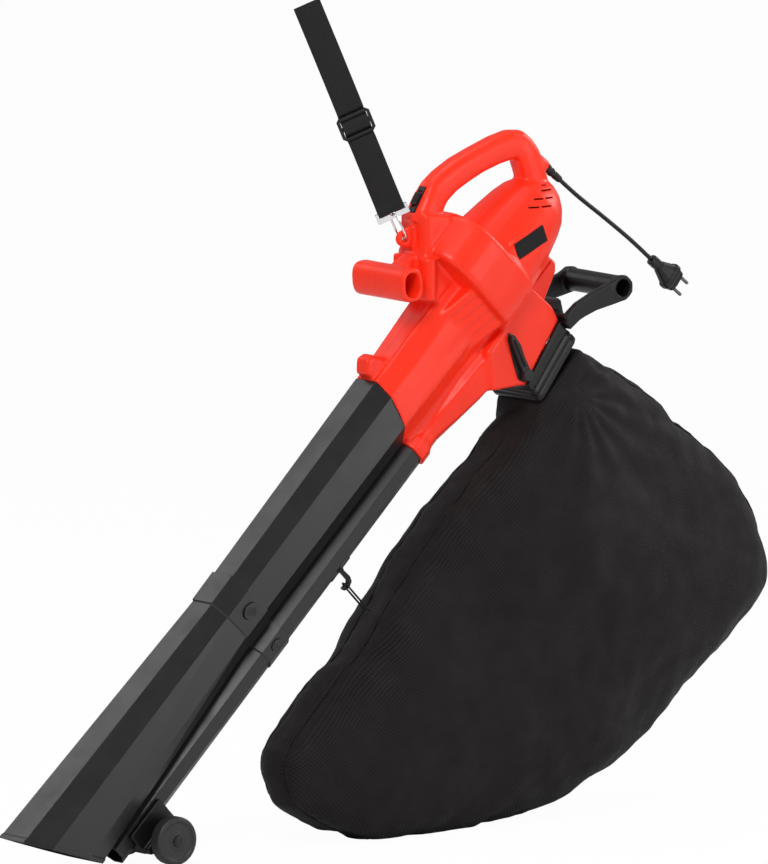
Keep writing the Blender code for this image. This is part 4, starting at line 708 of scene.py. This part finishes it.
def turned_box(centre, angle, half_along, up, y):
    """A closed box that lies at an angle in the machine's middle plane."""
    c = math.cos(angle)
    s = math.sin(angle)
    outline = [(centre[0] + a * c - b * s, centre[1] + a * s + b * c) for a, b in
               ((-half_along, up[0]), (half_along, up[0]), (half_along, up[1]), (-half_along, up[1]))]
    return loft_mesh([[at(x, side, z) for x, z in outline] for side in y])


def label_pocket():
    """The shallow recess that the bare plate lies in."""
    c = math.cos(LABEL_TURN)
    s = math.sin(LABEL_TURN)
    along = Vector((c * math.cos(LABEL_TILT), math.sin(LABEL_TILT), s * math.cos(LABEL_TILT)))
    across = Vector((-s, 0, c))
    out = along.cross(across)
    if out.y > 0:
        out.negate()
    half_a = LABEL_SIZE[0] / 2 + LABEL_GAP
    half_b = LABEL_SIZE[1] / 2 + LABEL_GAP
    corners = ((-half_a, -half_b), (half_a, -half_b), (half_a, half_b), (-half_a, half_b))
    centre = Vector(LABEL_CENTRE)
    return loft_mesh([[at(*(centre + along * a + across * b + out * level)) for a, b in corners]
                      for level in (0.0, 9.0)])


def housing_cuts():
    """Crisp recesses that the softening would wash out."""
    cuts = [label_pocket(), turned_box(SWITCH_CENTRE, SWITCH_TURN, 19.4, (-1.8, 12), (-6.9, 6.9)),
            turned_box(SWITCH_CENTRE, SWITCH_TURN, 12.5, (-8.0, -1.0), (-3.1, 3.1))]
    for side in (-1, 1):
        for x, z, length in VENT_ROWS:
            pieces = 1 if length < 24 else 2
            part = (length - VENT_BRIDGE * (pieces - 1)) / pieces
            for k in range(pieces):
                centre = along_slope(x, z, (k - (pieces - 1) / 2) * (part + VENT_BRIDGE))
                cuts.append(turned_box(centre, -TILT, part / 2, (-VENT_HALF_WIDTH, VENT_HALF_WIDTH),
                                       sorted((side * 22, side * 80))))
        cuts.append(turned_box(SCREW_SLOT, 0.0, 19, (-1.3, 1.3), sorted((side * 27.5, side * 34))))
    return cuts


def machine_points(mesh):
    """The mesh's points in the row frame, and the same points as machine ones."""
    inverse = np.array(MACHINE.inverted())
    points = points_of(mesh)
    return points, (points @ inverse[:3, :3].T + inverse[:3, 3]) / MM


def housing():
    """Both half shells, softened as one form and parted again in the middle plane.

    The mouth and the outlet's rim are held back, and the rim is laid flat on the frame below it.
    """
    mesh = remeshed(node_mesh("housing_left_shell", "housing_right_shell"), HOUSING_VOXEL)
    points, machine = machine_points(mesh)
    x = machine[:, 0]
    z = machine[:, 2]
    weight = np.ones(len(points))
    weight[x < MOUTH_X] = 0.35
    outlet = (x > OUTLET_X - 6) & (z < OUTLET_SLOPE * (x - OUTLET_X) + OUTLET_Z + 8)
    weight[outlet] = 0.1
    smoothed(mesh, 16, weight)
    low, high = CASING_RIM_Z
    smoothed(mesh, 30, np.clip(1 - np.abs(x - CASING_RIM_X) / 22, 0, 1) * (z > low) * (z < high))
    points, machine = machine_points(mesh)
    rise = machine[:, 2] - OUTLET_Z - OUTLET_SLOPE * (machine[:, 0] - OUTLET_X)
    outlet &= rise < 1.5
    points[outlet] -= np.outer(rise[outlet] + OUTLET_SINK, np.array(MACHINE)[:3, 2]) * MM
    mesh.vertices.foreach_set("co", points.ravel())
    for tool in housing_cuts():
        mesh = boolean(mesh, tool, "DIFFERENCE")
    for side, word in ((-1, "left"), (1, "right")):
        limits = sorted((side * HOUSING_SPLIT, side * 300.0))
        half = boolean(mesh.copy(), machine_box((600, 1400), limits, (-400, 400)), "INTERSECT")
        item = link_mesh(f"housing_{word}_moulding", half, red_plastic, angle=50)
        carry(item, f"housing_{word}_shell")


# Bag

BAG_CENTRE = (770, -400)
BAG_HALF_WIDTH = 112
GUSSET_HALF_WIDTH = 24
BAG_TOP = -168.3
BAG_VOXEL = 0.0045
SEAM_RADIUS = 0.0011
BAG_OUTLINE = ((1085, -190), (1119, -299), (1144, -431), (1151, -553), (1093, -644), (976, -664),
               (848, -656), (703, -628), (585, -573), (482, -490), (397, -393), (335, -284),
               (348, -206), (425, -186), (600, -180), (796, -169), (953, -174))


def bag_ring(share, outline):
    """The bag's outline at a share of its half width, drawn in towards the sides."""
    cx, cz = BAG_CENTRE
    scale = max(0.12, (1 - min(0.9995, abs(share)) ** 2.3) ** 0.42)
    return [at(cx + (p.x - cx) * scale, BAG_HALF_WIDTH * share, cz + (p.y - cz) * scale) for p in outline]


def round_rect(x, y, corner, z):
    """A rounded rectangle across the bag's neck."""
    points = []
    for cx, cy, start in ((x[1] - corner, y[1] - corner, 0), (x[0] + corner, y[1] - corner, 90),
                          (x[0] + corner, y[0] + corner, 180), (x[1] - corner, y[0] + corner, 270)):
        for k in range(5):
            a = math.radians(start + 22.5 * k)
            points.append(at(cx + corner * math.cos(a), cy + corner * math.sin(a), z))
    return points


def bag_fold(point, normal):
    """How far the cloth stands out at a machine point, in metres."""
    x, y, z = point
    away = Vector((x - 1030, z + 200))
    reach = away.length
    angle = math.atan2(away.y, away.x)
    wander = noise.noise(Vector((x, y, z)) * 0.006) * 1.6
    folds = math.sin(angle * 17 + wander * 3 + y * 0.02) * 2.6 * math.exp(-reach / 170)
    drape = math.sin((x * 0.70 - z * 0.72) * 0.035 + wander * 2.2) * 1.5 * math.exp(-((z + 260) / 170) ** 2)
    slow = noise.noise(Vector((x, y * 1.5, z + 40)) * 0.0062) * 13.0
    slow += noise.noise(Vector((x, y * 1.5, z)) * 0.013) * 4.5
    small = noise.noise(Vector((x, y * 1.4, z)) * 0.030) * 2.0
    rim = math.exp(-(y / 55) ** 2)
    gather = noise.noise(Vector((x, 0, z)) * 0.030) * 4.6 + noise.noise(Vector((x, 9, z)) * 0.07) * 2.2
    gather *= rim
    crease = 0.0
    if abs(normal.y) < 0.55:
        crease = -2.2 * math.exp(-((abs(y) - GUSSET_HALF_WIDTH) / 5) ** 2)
    return (folds + drape + slow + small + gather + crease) * MM


def bag_piece():
    """The filled bag and its neck as one skin, with the folds laid on it."""
    outline = [Vector((p.x, p.y)) for p in spline_points([Vector((x, z)) for x, z in BAG_OUTLINE], 8, True)]
    shares = [math.sin(math.pi / 2 * k / 16) for k in range(-16, 17)]
    body = loft_mesh([bag_ring(share, outline) for share in shares])
    neck = loft_mesh([round_rect((985, 1081), (-51, 51), 6, BAG_TOP),
                      round_rect((950, 1085), (-53, 53), 12, BAG_TOP - 22),
                      round_rect((890, 1090), (-57, 57), 18, BAG_TOP - 80),
                      round_rect((850, 1098), (-66, 66), 24, BAG_TOP - 150)])
    mesh = smoothed(remeshed(joined([body, neck]), BAG_VOXEL), 6)
    inverse = MACHINE.inverted()
    normals = [vertex.normal.copy() for vertex in mesh.vertices]
    for vertex, normal in zip(mesh.vertices, normals):
        point = (inverse @ vertex.co) / MM
        hold = min(1.0, max(0.0, (BAG_TOP - 6 - point.z) / 40)) if 960 < point.x < 1100 else 1.0
        level = inverse.to_3x3() @ normal
        vertex.co += normal * bag_fold(point, level) * hold
    mesh.update()
    smoothed(mesh, 2)
    item = link_mesh("bag_cloth", mesh, bag_material)
    carry(item, "bag")
    return item, outline


def bag_seams(bag, outline):
    """Corded seams where the two side panels meet the gusset."""
    tree = BVHTree.FromObject(bag, bpy.context.evaluated_depsgraph_get())
    for side, word in ((-1, "left"), (1, "right")):
        share = side * GUSSET_HALF_WIDTH / BAG_HALF_WIDTH
        path = []
        for point in bag_ring(share, outline):
            machine = (MACHINE.inverted() @ point) / MM
            if machine.x > 930 and machine.z > -250:
                continue
            place, normal, _, _ = tree.find_nearest(point)
            if place is not None:
                path.append(place + normal * 0.0004)
        first = max(range(len(path)), key=lambda k: (path[k] - path[k - 1]).length)
        path = path[first:] + path[:first]
        seam = link_mesh(f"bag_seam_{word}", tube_mesh(path, SEAM_RADIUS, 6), bag_material)
        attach(seam, "machine")


# Strap

STRAP_START = Vector((1018.4, 0, 177.7))
STRAP_WAY = Vector((0.3104, 0, 0.9506)).normalized()
STRAP_ACROSS = Vector((0.8446, -0.459, -0.2758)).normalized()
STRAP_OUT = STRAP_WAY.cross(STRAP_ACROSS).normalized()
STRAP_LENGTH = 329
STRAP_WIDTH = 38
STRAP_THICKNESS = 1.6
SLIDER_AT = 139


def strap_point(along, across, out):
    """A strap point in the row frame."""
    return at(*(STRAP_START + STRAP_WAY * along + STRAP_ACROSS * across + STRAP_OUT * out))


def strap_path():
    """The webbing seen edge on: round the loop, back along itself and through the slider."""
    turn = [(4.0 + 3.6 * math.cos(a), 3.6 * math.sin(a)) for a in
            (math.radians(d) for d in (90, 135, 180, 225, 270))]
    path = [(40, 2.0), (20, 2.0), (11, 3.4)] + turn + [(10, -2.6), (20, -0.1), (60, 0)]
    path += [(SLIDER_AT - 30, 0), (SLIDER_AT - 19, 3.6), (SLIDER_AT - 12, 3.6), (SLIDER_AT - 4, -3.4),
             (SLIDER_AT + 4, -3.4), (SLIDER_AT + 12, 3.6), (SLIDER_AT + 19, 3.6), (SLIDER_AT + 30, 0)]
    path += [(STRAP_LENGTH * 0.75, -1.5), (STRAP_LENGTH - 24, 0), (STRAP_LENGTH, 0)]
    return path


def strap_piece():
    """Webbing with rounded edges. Its UV map holds metres across and along."""
    path = [Vector(p) for p in spline_points([Vector(p) for p in strap_path()], 4)]
    upper = [(-0.5, 0.0), (-0.49, 0.35), (-0.46, 0.5), (-0.23, 0.5), (0.0, 0.5), (0.23, 0.5), (0.46, 0.5),
             (0.49, 0.35)]
    section = upper + [(-a, -b) for a, b in upper]
    rings = []
    lengths = []
    total = 0.0
    last = len(path) - 1
    for k, here in enumerate(path):
        before = path[max(0, k - 1)]
        after = path[min(last, k + 1)]
        total += (here - before).length if k else 0.0
        along = (after - before).normalized()
        normal = Vector((-along.y, along.x))
        ring = []
        for a, b in section:
            spot = here + normal * (b * STRAP_THICKNESS)
            ring.append(strap_point(spot.x, a * STRAP_WIDTH, spot.y))
        rings.append(ring)
        lengths.append(total)
    data = bmesh.new()
    layer = data.loops.layers.uv.new("cloth")
    layers = [[data.verts.new(point) for point in ring] for ring in rings]
    count = len(section)
    for k in range(last):
        for i in range(count):
            j = (i + 1) % count
            face = data.faces.new((layers[k][i], layers[k][j], layers[k + 1][j], layers[k + 1][i]))
            for loop, (a, b) in zip(face.loops, ((i, k), (j, k), (j, k + 1), (i, k + 1))):
                loop[layer].uv = (section[a][0] * STRAP_WIDTH * MM, lengths[b] * MM)
    data.faces.new(layers[0][::-1])
    data.faces.new(layers[-1])
    bmesh.ops.recalc_face_normals(data, faces=data.faces)
    mesh = bpy.data.meshes.new("strap")
    data.to_mesh(mesh)
    data.free()
    item = link_mesh("strap_webbing", mesh, strap_material, angle=60)
    carry(item, "shoulder_strap")


# Latches and the pieces that keep their CAD form

LATCHES = {"suction": (466, 0.0, 39.4, 3.6, 5.6, 5), "blow": (468, -75, 25.4, 2.6, 3.4, 4)}
RIB_RISE = 1.1


def latch_pieces():
    """The snap buttons, each with low upright ribs on its face.

    A latch is given by the place of its centre, how far out its face lies, and the ribs' spacing,
    half length and number.
    """
    for kind, (x, z, face, step, reach, ribs) in LATCHES.items():
        for side, word in ((-1, "left"), (1, "right")):
            node = f"{kind}_latch_{word}"
            forms = [node_mesh(node)]
            for k in range(ribs):
                shift = (k - (ribs - 1) / 2) * step
                half = reach * math.sqrt(max(0.2, 1 - (shift / (ribs * step * 0.62)) ** 2))
                forms.append(turned_box(along_slope(x, z, shift), math.pi / 2 - TILT, half, (-0.9, 0.9),
                                        sorted((side * (face - 1.0), side * (face + RIB_RISE)))))
            mesh = smoothed(remeshed(joined(forms), 0.0004), 2)
            carry(link_mesh(node + "_button", mesh, catch_plastic), node)


def dress_nodes():
    """The pieces whose CAD form is fine enough get a material only."""
    dress(tube_plastic, "upper_suction_tube", "suction_nozzle", "upper_blow_tube", "lower_blow_tube")
    dress(frame_plastic, "inlet_ring", "fan_backplate", "motor_cooling_fan")
    dress(lever_plastic, "lever_plate", "axle_cap_left", "axle_cap_right")
    dress(plate_finish, "label_plate")
    dress(catch_plastic, "diverter_flap", "switch_body", "rear_bearing_bracket")
    dress(grain_plastic, "switch_bezel")
    dress(steel, "wheel_axle", "impeller_nut", "motor_shaft", "front_bearing", "rear_bearing",
          "housing_screw_handle", "housing_screw_grip", "housing_screw_duct", "housing_screw_rear")
    dress(chrome, "strap_loop", "snap_hook", "snap_hook_gate", angle=50)
    dress(aluminium, "impeller")
    dress(lamination, "stator_core", "armature_core")
    dress(copper, "armature_windings", "field_coils", "commutator")
    dress(brass, "brush_yoke")
    dress(carbon, "carbon_brush_left", "carbon_brush_right")
    dress(strap_material, "bag_hook_cord")


SOFTENED = (
    ("rear_handle", 0.0011, 6, frame_plastic),
    ("outlet_frame", 0.0011, 4, frame_plastic),
    ("bag_frame", 0.0011, 4, frame_plastic),
    ("bag_catch", 0.0005, 3, catch_plastic),
    ("mode_lever", 0.0006, 4, lever_plastic),
    ("switch_slider", 0.0004, 3, grain_plastic),
    ("wheel_bracket", 0.0010, 4, frame_plastic),
    ("wheel_left", 0.0009, 4, tyre_plastic),
    ("wheel_right", 0.0009, 4, tyre_plastic),
    ("strap_slider", 0.0004, 3, grain_plastic),
    ("cord_strain_relief", 0.0004, 3, cable_rubber),
    ("bag_hook", 0.0006, 3, frame_plastic),
)


make_camera()
make_studio()
make_cord()
dress_nodes()
for moulding in SOFTENED:
    soften(*moulding)
latch_pieces()
housing()
bag, bag_lines = bag_piece()
bag_seams(bag, bag_lines)
strap_piece()
